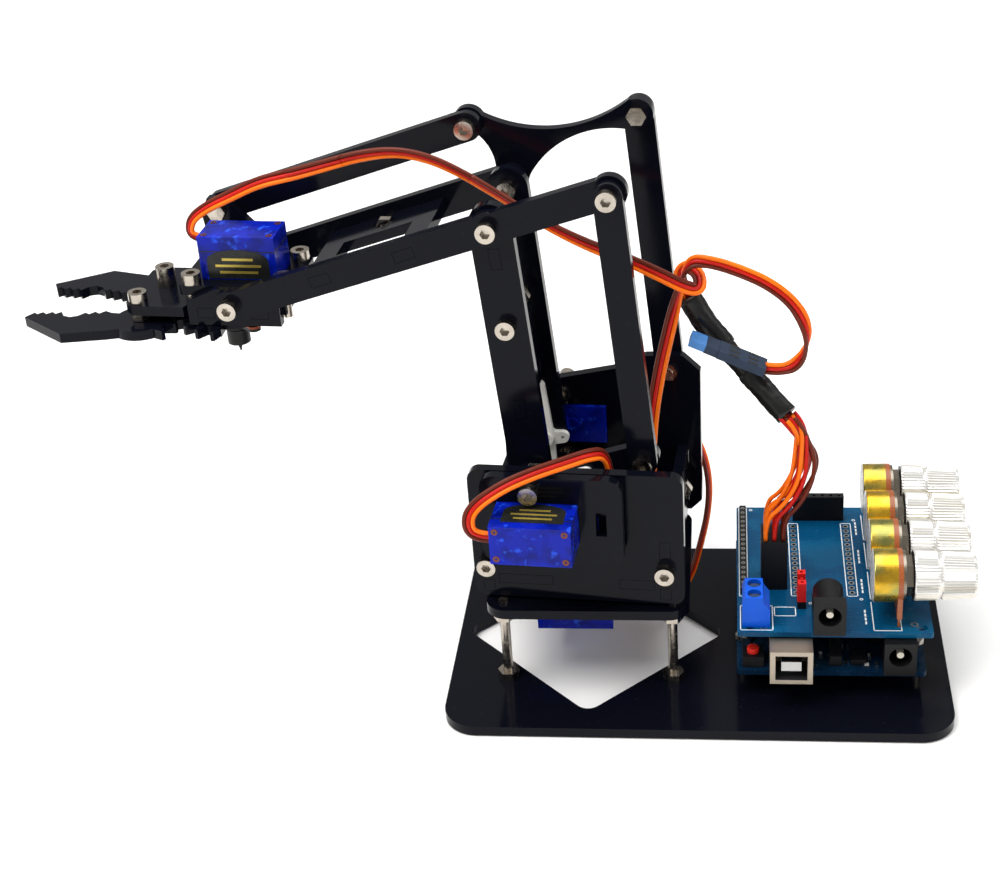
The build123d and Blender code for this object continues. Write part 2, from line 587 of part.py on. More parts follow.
def servo_collar(plane, low, high):
    """Clamping plate over a servo's tabs, with a slot beside its window."""
    with BuildSketch(plane) as outline:
        with Locations(((low[0] + high[0]) / 2, (low[1] + high[1]) / 2)):
            RectangleRounded(high[0] - low[0], high[1] - low[1], 4.0)
        with Locations(((low[0] + high[0]) / 2 - 14.0, SHOULDER_W)):
            Rectangle(3.0, 7.6, mode=Mode.SUBTRACT)
        with Locations((SHOULDER_U + SHAFT_END - SERVO_LONG / 2, SHOULDER_W)):
            Rectangle(SERVO_LONG + 0.4, SERVO_WIDE + 0.4, mode=Mode.SUBTRACT)
        with Locations(*COLLAR_SCREWS):
            Circle(M3_BORE / 2, mode=Mode.SUBTRACT)
    extrude(outline.sketch, amount=SHEET)


with BuildPart() as servo_collars:
    servo_collar(side_plane(NEAR_PLATE_V + TAB_THICK + SHEET), (-14.0, 46.2), (26.0, 74.4))
    servo_collar(side_plane(FAR_PLATE_V - SHEET - TAB_THICK), (-14.0, 46.2), (26.0, 72.0))
write(servo_collars, "servo_collars")

with BuildPart() as arm_servos:
    servo_case(NEAR_MOUNT)
    servo_case(FAR_MOUNT)
write(arm_servos, "arm_servos")

with BuildPart() as base_horn:
    servo_horn(BASE_MOUNT, [(a, 9.0) for a in (0, 180)] + [(a, 6.5) for a in (90, 270)], 11.8)
write(base_horn, "base_horn")

NEAR_HEAD = side_plane(NEAR_PLATE_V)
FAR_HEAD = side_plane(FAR_PLATE_V - SHEET, facing=1)


def at(plane, u, w):
    """The same plane moved within itself to the side-view point u, w."""
    return Plane(origin=plane.origin + ALONG * u + UP * w, x_dir=plane.x_dir, z_dir=plane.z_dir)


with BuildPart() as turntable_fasteners:
    for plane in (NEAR_HEAD, FAR_HEAD):
        for u in (CROSS_FRONT_U, CROSS_REAR_U):
            cap_screw(at(plane, u + SHEET / 2, CROSS_SCREW_W), 12.0)
        for u, w in COLLAR_SCREWS:
            cap_screw(at(plane.offset(-TAB_THICK - SHEET), u, w), 12.0)
    cap_screw(at(side_plane(REAR_LINK_V - SHEET - 0.1, facing=1), *REAR_PIVOT), 8.0)
    for plane in (side_plane(NEAR_INNER), side_plane(FAR_INNER, facing=1)):
        for u in (CROSS_FRONT_U, CROSS_REAR_U):
            hex_nut(at(plane.offset(T_NUT_AT + 0.1), u + SHEET / 2, CROSS_SCREW_W))
        for u, w in COLLAR_SCREWS:
            hex_nut(at(plane, u, w))
    hex_nut(at(side_plane(FAR_INNER, facing=1), *REAR_PIVOT), across=5.0, high=1.0)
    for face in (NEAR_HEAD, FAR_HEAD):
        for u, w in COLLAR_SCREWS:
            spacer(at(face.offset(-TAB_THICK), u, w), TAB_THICK, outer=5.0, bore=M3_SHANK)
write(turntable_fasteners, "turntable_fasteners")

# ---- lower arm ----------------------------------------------------------------------------
LOWER_RUN = Vector(cos(radians(LOWER_ANGLE)), sin(radians(LOWER_ANGLE)), 0)
FORE_RUN = Vector(cos(radians(FORE_ANGLE)), sin(radians(FORE_ANGLE)), 0)


def brace_plane(start, angle, offset=0.0):
    """Plane of a brace: x runs along the link from its start and y to the near side."""
    run = ALONG * cos(radians(angle)) + UP * sin(radians(angle))
    return Plane(origin=arm_point(start[0], 0, start[1]), x_dir=run,
                 z_dir=run.cross(NEARWARD)).offset(offset)


def brace_slots(plane, start, angle, spans, thickness=SHEET):
    """Slots through a link for a brace's tabs, at distances along the link."""
    for low, high in spans:
        middle = polar((low + high) / 2, angle, start)
        with BuildSketch(plane) as outline:
            with Locations(middle):
                Rectangle(high - low + 2 * SLOT_FIT, SHEET + 2 * SLOT_FIT, rotation=angle)
        extrude(outline.sketch, amount=thickness, mode=Mode.SUBTRACT)


LOWER_TABS = ((20.2, 26.2), (67.0, 73.0))
LOWER_SCREW_AT = 49.5
with BuildPart() as near_lower_arm:
    plane = side_plane(LOWER_V)
    bar(plane, SHOULDER, ELBOW, LOWER_WIDE)
    drill(plane, [SHOULDER, ELBOW, polar(LOWER_SCREW_AT, LOWER_ANGLE, SHOULDER)], M3_BORE)
    brace_slots(plane, SHOULDER, LOWER_ANGLE, LOWER_TABS)
write(near_lower_arm, "near_lower_arm")

with BuildPart() as far_lower_arm:
    plane = side_plane(LOWER_FAR_V)
    bar(plane, SHOULDER, ELBOW, LOWER_WIDE)
    drill(plane, [ELBOW, polar(LOWER_SCREW_AT, LOWER_ANGLE, SHOULDER)], M3_BORE)
    drill(plane, [SHOULDER], 7.2)
    brace_slots(plane, SHOULDER, LOWER_ANGLE, LOWER_TABS)
write(far_lower_arm, "far_lower_arm")

with BuildPart() as lower_arm_brace:
    plane = brace_plane(SHOULDER, LOWER_ANGLE, -SHEET / 2)
    near, far = LOWER_V - SHEET, LOWER_FAR_V
    block(plane, (20.2, far), (73.0, near), SHEET)
    for low, high in LOWER_TABS:
        block(plane, (low, far - SHEET), (high, near + SHEET), SHEET)
    t_slot(plane, (LOWER_SCREW_AT, near), (0, -1), (1, 0))
    t_slot(plane, (LOWER_SCREW_AT, far), (0, 1), (1, 0))
    block(plane, (28.0, far + 7.0), (40.0, near - 7.0), SHEET, Mode.SUBTRACT)
write(lower_arm_brace, "lower_arm_brace")

with BuildPart() as shoulder_horn:
    servo_horn(FAR_MOUNT, [(-LOWER_ANGLE, 17.5), (180 - LOWER_ANGLE, 9.0), (90 - LOWER_ANGLE, 5.0),
                           (270 - LOWER_ANGLE, 5.0)], 11.8)
write(shoulder_horn, "shoulder_horn")

with BuildPart() as lower_arm_fasteners:
    tee = polar(LOWER_SCREW_AT, LOWER_ANGLE, SHOULDER)
    cap_screw(at(side_plane(LOWER_V), *tee), 8.8)
    hex_nut(at(side_plane(LOWER_V - SHEET - T_NUT_AT - 0.1), *tee))
    cap_screw(at(side_plane(LOWER_FAR_V - SHEET, facing=1), *tee), 8.8)
    hex_nut(at(side_plane(LOWER_FAR_V + T_NUT_AT + 0.1, facing=1), *tee))
    with BuildSketch(at(side_plane(LOWER_V - SHEET), *SHOULDER)):
        Circle(2.75)
    extrude(amount=1.6)
    with BuildSketch(at(side_plane(FORE_V - 1.5), *SHOULDER)):
        Circle(M3_SHANK / 2)
    extrude(amount=FORE_V - 1.5 - LOWER_V + SHEET)
write(lower_arm_fasteners, "lower_arm_fasteners")

# ---- lever and push rod -------------------------------------------------------------------
with BuildPart() as elbow_lever:
    plane = side_plane(FORE_V)
    bar(plane, SHOULDER, LEVER_END, FORE_WIDE)
    with BuildSketch(plane):
        with Locations(SHOULDER):
            Circle(6.0)
    extrude(amount=SHEET)
    drill(plane, [SHOULDER, LEVER_END], M3_BORE)
    drill(plane, [SHOULDER], 5.0, 1.3)
write(elbow_lever, "elbow_lever")

with BuildPart() as elbow_horn:
    servo_horn(NEAR_MOUNT, [(180 + FORE_ANGLE, 17.5), (FORE_ANGLE, 6.5)], 11.9)
write(elbow_horn, "elbow_horn")

with BuildPart() as push_rod_pin:
    cap_screw(at(side_plane(ROD_V + 0.1), *LEVER_END), 8.6)
    hex_nut(at(side_plane(FORE_V - SHEET - 0.1), *LEVER_END), high=2.0)
write(push_rod_pin, "push_rod_pin")

with BuildPart() as push_rod:
    plane = side_plane(ROD_V)
    bar(plane, LEVER_END, TAIL, ROD_WIDE)
    drill(plane, [LEVER_END, TAIL], M3_BORE)
write(push_rod, "push_rod")

# ---- forearm ------------------------------------------------------------------------------
FORE_TABS = ((22.0, 28.0), (48.0, 54.0))
FORE_SCREW_AT = 38.0
with BuildPart() as elbow_screw:
    cap_screw(at(side_plane(FORE_V + 0.1), *ELBOW), 8.6)
    hex_nut(at(side_plane(LOWER_V - SHEET - 0.1), *ELBOW), high=2.0)
write(elbow_screw, "elbow_screw")

with BuildPart() as near_forearm:
    plane = side_plane(FORE_V)
    bar(plane, TAIL, WRIST, FORE_WIDE)
    for joint in (ELBOW, TAIL, WRIST):
        with BuildSketch(plane):
            with Locations(joint):
                Circle(FORE_WIDE / 2 + 0.6)
        extrude(amount=SHEET)
    drill(plane, [ELBOW, TAIL, WRIST], M3_BORE)
    brace_slots(plane, ELBOW, FORE_ANGLE, FORE_TABS)
write(near_forearm, "near_forearm")

with BuildPart() as far_forearm:
    plane = side_plane(FORE_FAR_V)
    bar(plane, ELBOW, WRIST, FORE_WIDE + 0.6)
    drill(plane, [ELBOW, WRIST, polar(FORE_SCREW_AT, FORE_ANGLE, ELBOW)], M3_BORE)
    brace_slots(plane, ELBOW, FORE_ANGLE, FORE_TABS)
write(far_forearm, "far_forearm")

with BuildPart() as forearm_brace:
    plane = brace_plane(ELBOW, FORE_ANGLE, -SHEET / 2)
    near, far = FORE_V - SHEET, FORE_FAR_V
    block(plane, (20.0, far), (56.0, near), SHEET)
    for low, high in FORE_TABS:
        block(plane, (low, far - SHEET), (high, near + SHEET), SHEET)
    t_slot(plane, (FORE_SCREW_AT, far), (0, 1), (1, 0))
    block(plane, (27.0, -12.0), (49.0, 1.0), SHEET, Mode.SUBTRACT)
write(forearm_brace, "forearm_brace")

with BuildPart() as forearm_fasteners:
    tee = polar(FORE_SCREW_AT, FORE_ANGLE, ELBOW)
    cap_screw(at(side_plane(FORE_FAR_V - SHEET, facing=1), *tee), 8.8)
    hex_nut(at(side_plane(FORE_FAR_V + T_NUT_AT + 0.1, facing=1), *tee))
    cap_screw(at(side_plane(ROD_V + 0.1), *TAIL), 8.6)
    hex_nut(at(side_plane(FORE_V - SHEET), *TAIL), high=1.9)
write(forearm_fasteners, "forearm_fasteners")

# ---- triangle and levelling links ---------------------------------------------------------
with BuildPart() as triangle_link:
    plane = side_plane(FAR_PLATE_V)
    with BuildSketch(plane):
        with BuildLine():
            Line(shifted(TRI_BACK, (-1.0, 4.4)), shifted(TRI_BACK, (2.0, 4.6)))
            ThreePointArc(shifted(TRI_BACK, (2.0, 4.6)), shifted(ELBOW, (-12.0, 14.4)),
                          shifted(TRI_TOP, (0.0, 4.6)))
            Line(shifted(TRI_TOP, (0.0, 4.6)), shifted(TRI_TOP, (4.6, 0.0)))
            ThreePointArc(shifted(TRI_TOP, (4.6, 0.0)), shifted(ELBOW, (5.6, 7.4)),
                          shifted(ELBOW, (4.8, 0.0)))
            Line(shifted(ELBOW, (4.8, 0.0)), shifted(ELBOW, (-3.0, -4.2)))
            ThreePointArc(shifted(ELBOW, (-3.0, -4.2)), shifted(ELBOW, (-13.0, 9.4)),
                          shifted(TRI_BACK, (0.0, -4.6)))
            Line(shifted(TRI_BACK, (0.0, -4.6)), shifted(TRI_BACK, (-4.6, 0.0)))
            Line(shifted(TRI_BACK, (-4.6, 0.0)), shifted(TRI_BACK, (-1.0, 4.4)))
        make_face()
        with Locations(ELBOW, TRI_TOP, TRI_BACK):
            Circle(4.7)
        with Locations(ELBOW, TRI_TOP, TRI_BACK):
            Circle(M3_BORE / 2, mode=Mode.SUBTRACT)
    extrude(amount=SHEET)
write(triangle_link, "triangle_link")

with BuildPart() as triangle_fasteners:
    cap_screw(at(side_plane(LOWER_FAR_V + 0.1), *ELBOW), 14.3)
    spacer(at(side_plane(LOWER_FAR_V - SHEET - 0.1), *ELBOW), 2.3, bore=M3_SHANK)
    hex_nut(at(side_plane(FAR_PLATE_V - SHEET), *ELBOW), high=2.2)
    cap_screw(at(side_plane(FORE_FAR_V + 0.1), *TRI_TOP), 8.6)
    hex_nut(at(side_plane(FAR_PLATE_V - SHEET), *TRI_TOP), high=2.0)
    cap_screw(at(side_plane(REAR_LINK_V - SHEET - 0.1, facing=1), *TRI_BACK), 8.0)
    hex_nut(at(side_plane(FAR_PLATE_V, facing=1), *TRI_BACK), across=5.0, high=1.4)
write(triangle_fasteners, "triangle_fasteners")

with BuildPart() as upper_link:
    plane = side_plane(FORE_FAR_V)
    bar(plane, TRI_TOP, GRIP_TOP, FORE_WIDE)
    drill(plane, [TRI_TOP, GRIP_TOP], M3_BORE)
write(upper_link, "upper_link")

with BuildPart() as rear_link:
    plane = side_plane(REAR_LINK_V)
    bar(plane, REAR_PIVOT, TRI_BACK, FORE_WIDE)
    drill(plane, [REAR_PIVOT, TRI_BACK], M3_BORE)
write(rear_link, "rear_link")

# ---- gripper ------------------------------------------------------------------------------
GRIP_MOUNT = level_plane(MAIN_PLATE_W, GRIP_SERVO_U, GRIP_V, facing=-1)
MAIN_UNDER = MAIN_PLATE_W - SHEET
COLLAR_TOP = MAIN_PLATE_W + TAB_THICK + SHEET
BRACKET_NEAR_V, BRACKET_FAR_V = LOWER_V, FORE_FAR_V + GAP + SHEET
PLATE_NEAR, PLATE_FAR = BRACKET_NEAR_V - SHEET, BRACKET_FAR_V
GRIP_SCREWS = [(GRIP_SERVO_U + SERVO_MIDDLE + 13.8 * side, GRIP_V + 8.6 * across)
               for side in (-1, 1) for across in (-1, 1)]
NEAR_JAW_PIVOT = (JAW_PIVOT_U, GRIP_V + JAW_R)
FAR_JAW_PIVOT = (JAW_PIVOT_U, GRIP_V - JAW_R)
DRIVE_AXIS = (GRIP_SERVO_U, GRIP_V)
MESH_ANGLE = 22.89                      # near jaw's pivot, seen from the drive gear
WRIST_TABS = ((88.5, 93.5), (104.5, 109.5))

with BuildPart() as wrist_brackets:
    with BuildSketch(side_plane(BRACKET_NEAR_V)):
        with BuildLine():
            Polyline((85.0, JAW_TOP + GAP), (112.5, JAW_TOP + GAP), (112.5, MAIN_PLATE_W + 2.0),
                     (103.0, 119.2), (94.0, 119.2), (85.0, MAIN_PLATE_W + 2.0), close=True)
        make_face()
        with Locations(WRIST):
            Circle(M3_SHANK / 2, mode=Mode.SUBTRACT)
        for low, high in WRIST_TABS:
            with Locations(((low + high) / 2, MAIN_PLATE_W - SHEET / 2)):
                Rectangle(high - low + 2 * SLOT_FIT, SHEET + 2 * SLOT_FIT, mode=Mode.SUBTRACT)
    extrude(amount=SHEET)
    with BuildSketch(side_plane(BRACKET_FAR_V)):
        with BuildLine():
            Polyline((85.0, JAW_TOP + GAP), (112.5, JAW_TOP + GAP), (115.2, 130.0), (113.0, 135.0),
                     (107.0, 135.0), (104.0, 131.0), (94.0, 120.0), (85.0, MAIN_PLATE_W + 2.0), close=True)
        make_face()
        with Locations(WRIST, GRIP_TOP):
            Circle(M3_SHANK / 2, mode=Mode.SUBTRACT)
        for low, high in WRIST_TABS:
            with Locations(((low + high) / 2, MAIN_PLATE_W - SHEET / 2)):
                Rectangle(high - low + 2 * SLOT_FIT, SHEET + 2 * SLOT_FIT, mode=Mode.SUBTRACT)
    extrude(amount=SHEET)
write(wrist_brackets, "wrist_brackets")

with BuildPart() as gripper_plate:
    with BuildSketch(level_plane(MAIN_UNDER)):
        with BuildLine():
            Polyline((84.0, PLATE_FAR), (113.0, PLATE_FAR), (116.0, PLATE_FAR + 1.0),
                     (JAW_PIVOT_U + 1.0, PLATE_FAR + 1.0), (JAW_PIVOT_U + 3.4, PLATE_FAR + 3.4),
                     (JAW_PIVOT_U + 3.4, PLATE_NEAR + 0.4), (JAW_PIVOT_U + 1.0, PLATE_NEAR + 2.8),
                     (114.0, PLATE_NEAR + 2.8), (113.0, PLATE_NEAR), (84.0, PLATE_NEAR), close=True)
        make_face()
        with Locations((GRIP_SERVO_U + SERVO_MIDDLE, GRIP_V)):
            Rectangle(SERVO_LONG + 0.4, SERVO_WIDE + 0.4, mode=Mode.SUBTRACT)
        with Locations(NEAR_JAW_PIVOT, FAR_JAW_PIVOT, (124.0, GRIP_V - 1.0), *GRIP_SCREWS):
            Circle(M3_SHANK / 2, mode=Mode.SUBTRACT)
    extrude(amount=SHEET)
    for low, high in WRIST_TABS:
        block(level_plane(MAIN_UNDER), (low, PLATE_NEAR), (high, PLATE_NEAR + SHEET), SHEET)
        block(level_plane(MAIN_UNDER), (low, PLATE_FAR - SHEET), (high, PLATE_FAR), SHEET)
write(gripper_plate, "gripper_plate")

with BuildPart() as gripper_collar:
    with BuildSketch(level_plane(COLLAR_TOP - SHEET)):
        with Locations((GRIP_SERVO_U + SERVO_MIDDLE, GRIP_V)):
            RectangleRounded(34.6, 2 * (PLATE_NEAR - GRIP_V) - 0.4, 1.5)
            Rectangle(SERVO_LONG + 0.4, SERVO_WIDE + 0.4, mode=Mode.SUBTRACT)
        with Locations(*GRIP_SCREWS):
            Circle(M3_BORE / 2, mode=Mode.SUBTRACT)
    extrude(amount=SHEET)
write(gripper_collar, "gripper_collar")

with BuildPart() as gripper_servo:
    servo_case(GRIP_MOUNT)
write(gripper_servo, "gripper_servo")

with BuildPart() as gripper_fasteners:
    for u, v in GRIP_SCREWS:
        cap_screw(level_plane(COLLAR_TOP, u, v, facing=-1), 10.0)
        spacer(level_plane(MAIN_PLATE_W, u, v), TAB_THICK, outer=4.6, bore=M3_SHANK)
    cap_screw(level_plane(MAIN_PLATE_W, *NEAR_JAW_PIVOT, facing=-1), 10.0)
    cap_screw(level_plane(JAW_TOP - SHEET - 0.1, *FAR_JAW_PIVOT), 10.0)
    cap_screw(level_plane(MAIN_PLATE_W + 3.0, 124.0, GRIP_V - 1.0, facing=-1), 7.6)
    cap_screw(at(side_plane(FORE_V + 0.1), *WRIST), 6.4)
    cap_screw(at(side_plane(FORE_FAR_V - SHEET - 0.1, facing=1), *WRIST), 6.4)
    cap_screw(at(side_plane(FORE_FAR_V - SHEET - 0.1, facing=1), *GRIP_TOP), 8.0)
    hex_nut(level_plane(MAIN_UNDER - M3_NUT_HIGH, *NEAR_JAW_PIVOT), across=5.0, high=2.2)
    hex_nut(level_plane(MAIN_UNDER - M3_NUT_HIGH, *FAR_JAW_PIVOT), across=5.0, high=2.2)
    spacer(level_plane(MAIN_PLATE_W, 124.0, GRIP_V - 1.0), 3.0, outer=5.6, bore=M3_SHANK)
    hex_nut(at(side_plane(BRACKET_FAR_V, facing=1), *GRIP_TOP), across=5.0, high=1.6)
write(gripper_fasteners, "gripper_fasteners")


def gear_tooth(centre, radius, angle):
    """One trapezoid tooth on a gear, called inside a BuildSketch's own frame."""
    low, high = radius - 1.3 * GEAR_MODULE, radius + 0.92 * GEAR_MODULE
    low_half, high_half = 0.98 * GEAR_MODULE, 0.36 * GEAR_MODULE
    corners = []
    for reach, half in ((low, low_half), (high, high_half), (high, -high_half), (low, -low_half)):
        middle = polar(reach, angle, centre)
        corners.append(polar(half, angle - 90, middle))
    Polygon(*corners, align=None)


JAW_PITCH, DRIVE_PITCH = 360 / JAW_TEETH, 360 / DRIVE_TEETH
GRIP_EDGE = ((34.4, -2.2), (33.2, -1.2), (31.8, -2.6), (30.4, -1.4), (29.0, -2.9), (27.6, -1.7),
             (26.2, -3.1), (24.6, -0.6), (22.4, 0.2), (20.2, -0.8), (18.6, -3.0), (17.2, -2.0),
             (15.8, -3.7), (14.2, -2.6), (12.8, -4.4), (11.0, -3.4))
JAW_OUTSIDE = ((8.0, -3.0), (0.0, 0.0), (4.0, 7.0), (8.6, 8.4), (21.0, 11.2), (36.2, 1.0))


def jaw(pivot, side, teeth):
    """Claw with a toothed root: side is 1 for the near jaw and -1 for the far one."""
    with BuildSketch(level_plane(JAW_TOP - SHEET)) as outline:
        Polygon(*[(pivot[0] + x, pivot[1] + side * y) for x, y in GRIP_EDGE + JAW_OUTSIDE], align=None)
        with Locations(pivot):
            Circle(JAW_R - 1.3 * GEAR_MODULE + 0.1)
        for angle in teeth:
            gear_tooth(pivot, JAW_R, angle)
        with Locations(pivot):
            Circle(M3_BORE / 2, mode=Mode.SUBTRACT)
    extrude(outline.sketch, amount=SHEET)


with BuildPart() as near_jaw:
    jaw(NEAR_JAW_PIVOT, 1, [270 + JAW_PITCH * i for i in range(-5, 2)])
write(near_jaw, "near_jaw")

with BuildPart() as far_jaw:
    jaw(FAR_JAW_PIVOT, -1, [90 + JAW_PITCH * (i + 0.5) for i in range(-2, 3)])
write(far_jaw, "far_jaw")

FIRST_DRIVE_TOOTH = MESH_ANGLE - 1.8
with BuildPart() as drive_gear:
    with BuildSketch(level_plane(JAW_TOP - SHEET)):
        with Locations(DRIVE_AXIS):
            Circle(10.4)
        Polygon(DRIVE_AXIS, polar(15.0, 12.0, DRIVE_AXIS), polar(14.7, 22.0, DRIVE_AXIS),
                polar(14.7, 38.0, DRIVE_AXIS), polar(14.7, 54.0, DRIVE_AXIS), polar(14.7, 70.0, DRIVE_AXIS),
                polar(14.7, 84.0, DRIVE_AXIS), polar(15.0, 93.0, DRIVE_AXIS), align=None)
        for i in range(5):
            gear_tooth(DRIVE_AXIS, DRIVE_R, FIRST_DRIVE_TOOTH + DRIVE_PITCH * i)
        with Locations(DRIVE_AXIS):
            Circle(BOSS / 2 + 0.3, mode=Mode.SUBTRACT)
    extrude(amount=SHEET)
write(drive_gear, "drive_gear")

with BuildPart() as gripper_horn:
    servo_horn(GRIP_MOUNT, [(40, 10.0), (220, 10.0), (130, 8.5), (310, 8.5)], 8.75)
    with BuildSketch(GRIP_MOUNT.offset(12.8)):
        Circle(3.4)
    extrude(amount=4.6)
    with BuildSketch(GRIP_MOUNT.offset(17.4)):
        Circle(1.0)
    extrude(amount=3.2, taper=14)
write(gripper_horn, "gripper_horn")

# ---- leads --------------------------------------------------------------------------------
LEAD = 3.6                 # width of a flat three-wire servo lead
SLEEVE = 6.5               # shrink sleeve that gathers the leads
PLUG_X, PLUG_Y, PLUG_HIGH = 7.6, 2.5, 14.0
PLUG_TOP = SHIELD_TOP + 2.5 + PLUG_HIGH
CONNECTOR_WIDE, CONNECTOR_THICK, CONNECTOR_LONG = 7.6, 2.6, 22.5


def arm_route(*points):
    """A lead's route from side-view points u, v, w."""
    return [arm_point(*point) for point in points]


def stretch(route, first, last):
    """The points of a route from first up to last, cut at the middle of the runs beside them."""
    start = [(route[first - 1] + route[first]) / 2] if first else []
    end = [(route[last - 1] + route[last]) / 2] if last < len(route) else []
    return start + route[first:last] + end


def lead(route, width=LEAD):
    """Tube along straight runs joined by arcs as large as the runs allow."""
    radii = []
    for before, corner, after in zip(route, route[1:], route[2:]):
        first, second = corner - before, after - corner
        turn = radians(first.get_angle(second))
        radii.append(0.45 * min(first.length, second.length) / tan(turn / 2))
    with BuildLine() as path:
        FilletPolyline(*route, radius=radii)
    with BuildSketch(Plane(origin=route[0], z_dir=route[1] - route[0])) as outline:
        Circle(width / 2)
    centreline = path.wires()[0]
    sweep(outline.sketch, path=centreline)
    print(f"  bends of {min(radii):.1f} mm and up, {centreline.length:.1f} mm long")


GRIPPER_LEAD = arm_route(
    (GRIP_SERVO_U + SHAFT_END, -8, 128.7), (114.0, -8, 128.7), (113.6, -8.4, 133.8), (108.4, -9, 137.6),
    (101.0, -9.5, 140.9), (92.0, -10, 145.1), (82.0, -10, 147.4), (72.0, -10, 150.2), (61.5, -10, 153.2),
    (51.0, -9.8, 154.6), (41.5, -9.2, 152.9), (33.5, -8.6, 149.4), (25.5, -7.6, 145.0), (17.0, -6.0, 140.2),
    (7.2, -3.8, 135.0), (-3.4, -2, 130.6), (-13.6, -0.6, 127.4), (-22.7, 0.6, 123.6), (-30.4, 0.8, 119.6),
    (-33.2, -4.0, 117.6), (-32.0, -9.8, 119.8), (-28.0, -13.0, 120.4), (-25.62, -13.35, 116.29),
    (-28.7, -13, 110.9))
LEAD_CUTS = (("wrist", 0, 8), ("elbow", 8, 12), ("span", 12, 16), ("drop", 16, len(GRIPPER_LEAD)))
for part_of_way, first, last in LEAD_CUTS:
    with BuildPart() as gripper_lead:
        lead(stretch(GRIPPER_LEAD, first, last))
    write(gripper_lead, f"gripper_lead_{part_of_way}")

NEAR_LEAD = arm_route(
    (SHOULDER_U + SHAFT_END, 38.5, SHOULDER_W + 0.8), (25.2, 38.5, 61.0), (27.6, 38.8, 64.2),
    (26.6, 37.4, 69.2), (18.6, 34.6, 74.6), (10.0, 31.4, 77.6), (2.0, 27.6, 79.0), (-4.8, 22.8, 79.4),
    (-8.4, 17.6, 76.8), (-9.6, 16.4, 67.6), (-10.8, 16.8, 57.0), (-15.0, 15.4, 46.2), (-18.4, 9.4, 41.6),
    (-18.8, 2.6, 43.8), (-18.2, -1.2, 51.6), (-18.0, -1.4, 64.0), (-19.0, -2.0, 78.5), (-21.4, -3.0, 92.5),
    (-24.4, -4.8, 105.6), (-27.0, -6.0, 116.6), (-29.4, -6.4, 124.6), (-35.2, -5.8, 125.0),
    (-43.4, -5.0, 122.8), (-52.0, -4.2, 119.2), (-59.2, -3.6, 113.2), (-62.8, -3.0, 104.8),
    (-61.0, -3.0, 97.4), (-56.4, -3.0, 93.4), (-50.8, -3.0, 94.1))
CONNECTOR = Plane(origin=NEAR_LEAD[-1], x_dir=NEARWARD, z_dir=arm_point(20.7, 0, 8.8))
with BuildPart() as near_servo_lead:
    lead(NEAR_LEAD)
    block(CONNECTOR, (-CONNECTOR_WIDE / 2, -CONNECTOR_THICK / 2), (CONNECTOR_WIDE / 2, CONNECTOR_THICK / 2),
          CONNECTOR_LONG)
write(near_servo_lead, "near_servo_lead")

BASE_LEAD = [Vector(SHAFT_END, 0, 11.5), Vector(11.5, 0, 11.5), Vector(18.5, 3.6, 10.0),
             Vector(24.6, 9.4, 10.0), Vector(29.2, 16.6, 12.6)]
BASE_LEAD += arm_route((-29.5, -27.5, 17.5), (-31.6, -34.4, 26.5), (-31.8, -37.2, 36.5), (-29.4, -39.2, 46.5),
                       (-24.0, -41.2, 54.5), (-16.5, -43.2, 59.4), (-9.0, -44.0, 60.4), (-1.6, -44.0, 60.4))
with BuildPart() as base_servo_lead:
    lead(BASE_LEAD)
write(base_servo_lead, "base_servo_lead")

SLEEVE_ROUTE = arm_route((-28.7, -13, 110.9), (-33.1, -12.5, 103.2), (-39.4, -11.5, 95.7),
                         (-45.4, -9, 89.8), (-51, -5, 85.2), (-57.1, -1, 80.5))
with BuildPart() as lead_sleeve:
    lead(SLEEVE_ROUTE, SLEEVE)
write(lead_sleeve, "lead_sleeve")

with BuildPart() as lead_plugs:
    for row in range(4):
        block(Plane(origin=(51.2 + PIN_PITCH, -7.6 + PIN_PITCH * row, PLUG_TOP)),
              (-PLUG_X / 2, -PLUG_Y / 2), (PLUG_X / 2, PLUG_Y / 2), -PLUG_HIGH)
        for pin in range(3):
            block(Plane(origin=(51.2 + PIN_PITCH * pin, -7.6 + PIN_PITCH * row, PLUG_TOP - PLUG_HIGH)),
                  (-0.4, -0.4), (0.4, 0.4), 9.0, Mode.SUBTRACT)
write(lead_plugs, "lead_plugs")

SLEEVE_END = Plane(origin=SLEEVE_ROUTE[-1], z_dir=SLEEVE_ROUTE[-1] - SLEEVE_ROUTE[-2])
with BuildPart() as board_leads:
    with BuildSketch(SLEEVE_END):
        Circle(SLEEVE / 2)
    with BuildSketch(Plane(origin=(61.5, -4.2, 63.0), z_dir=(0.0, 0, -1))):
        Circle(5.0)
    with BuildSketch(Plane(origin=(51.2 + PIN_PITCH, -7.6 + 1.5 * PIN_PITCH, PLUG_TOP), z_dir=(0, 0, -1))):
        Circle(3.6)
    loft()
write(board_leads, "board_leads")
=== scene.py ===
"""Looks of a desktop robot arm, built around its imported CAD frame. Metres, +Z up."""
import json
import math

import bpy
import bmesh
from mathutils import Matrix, Vector


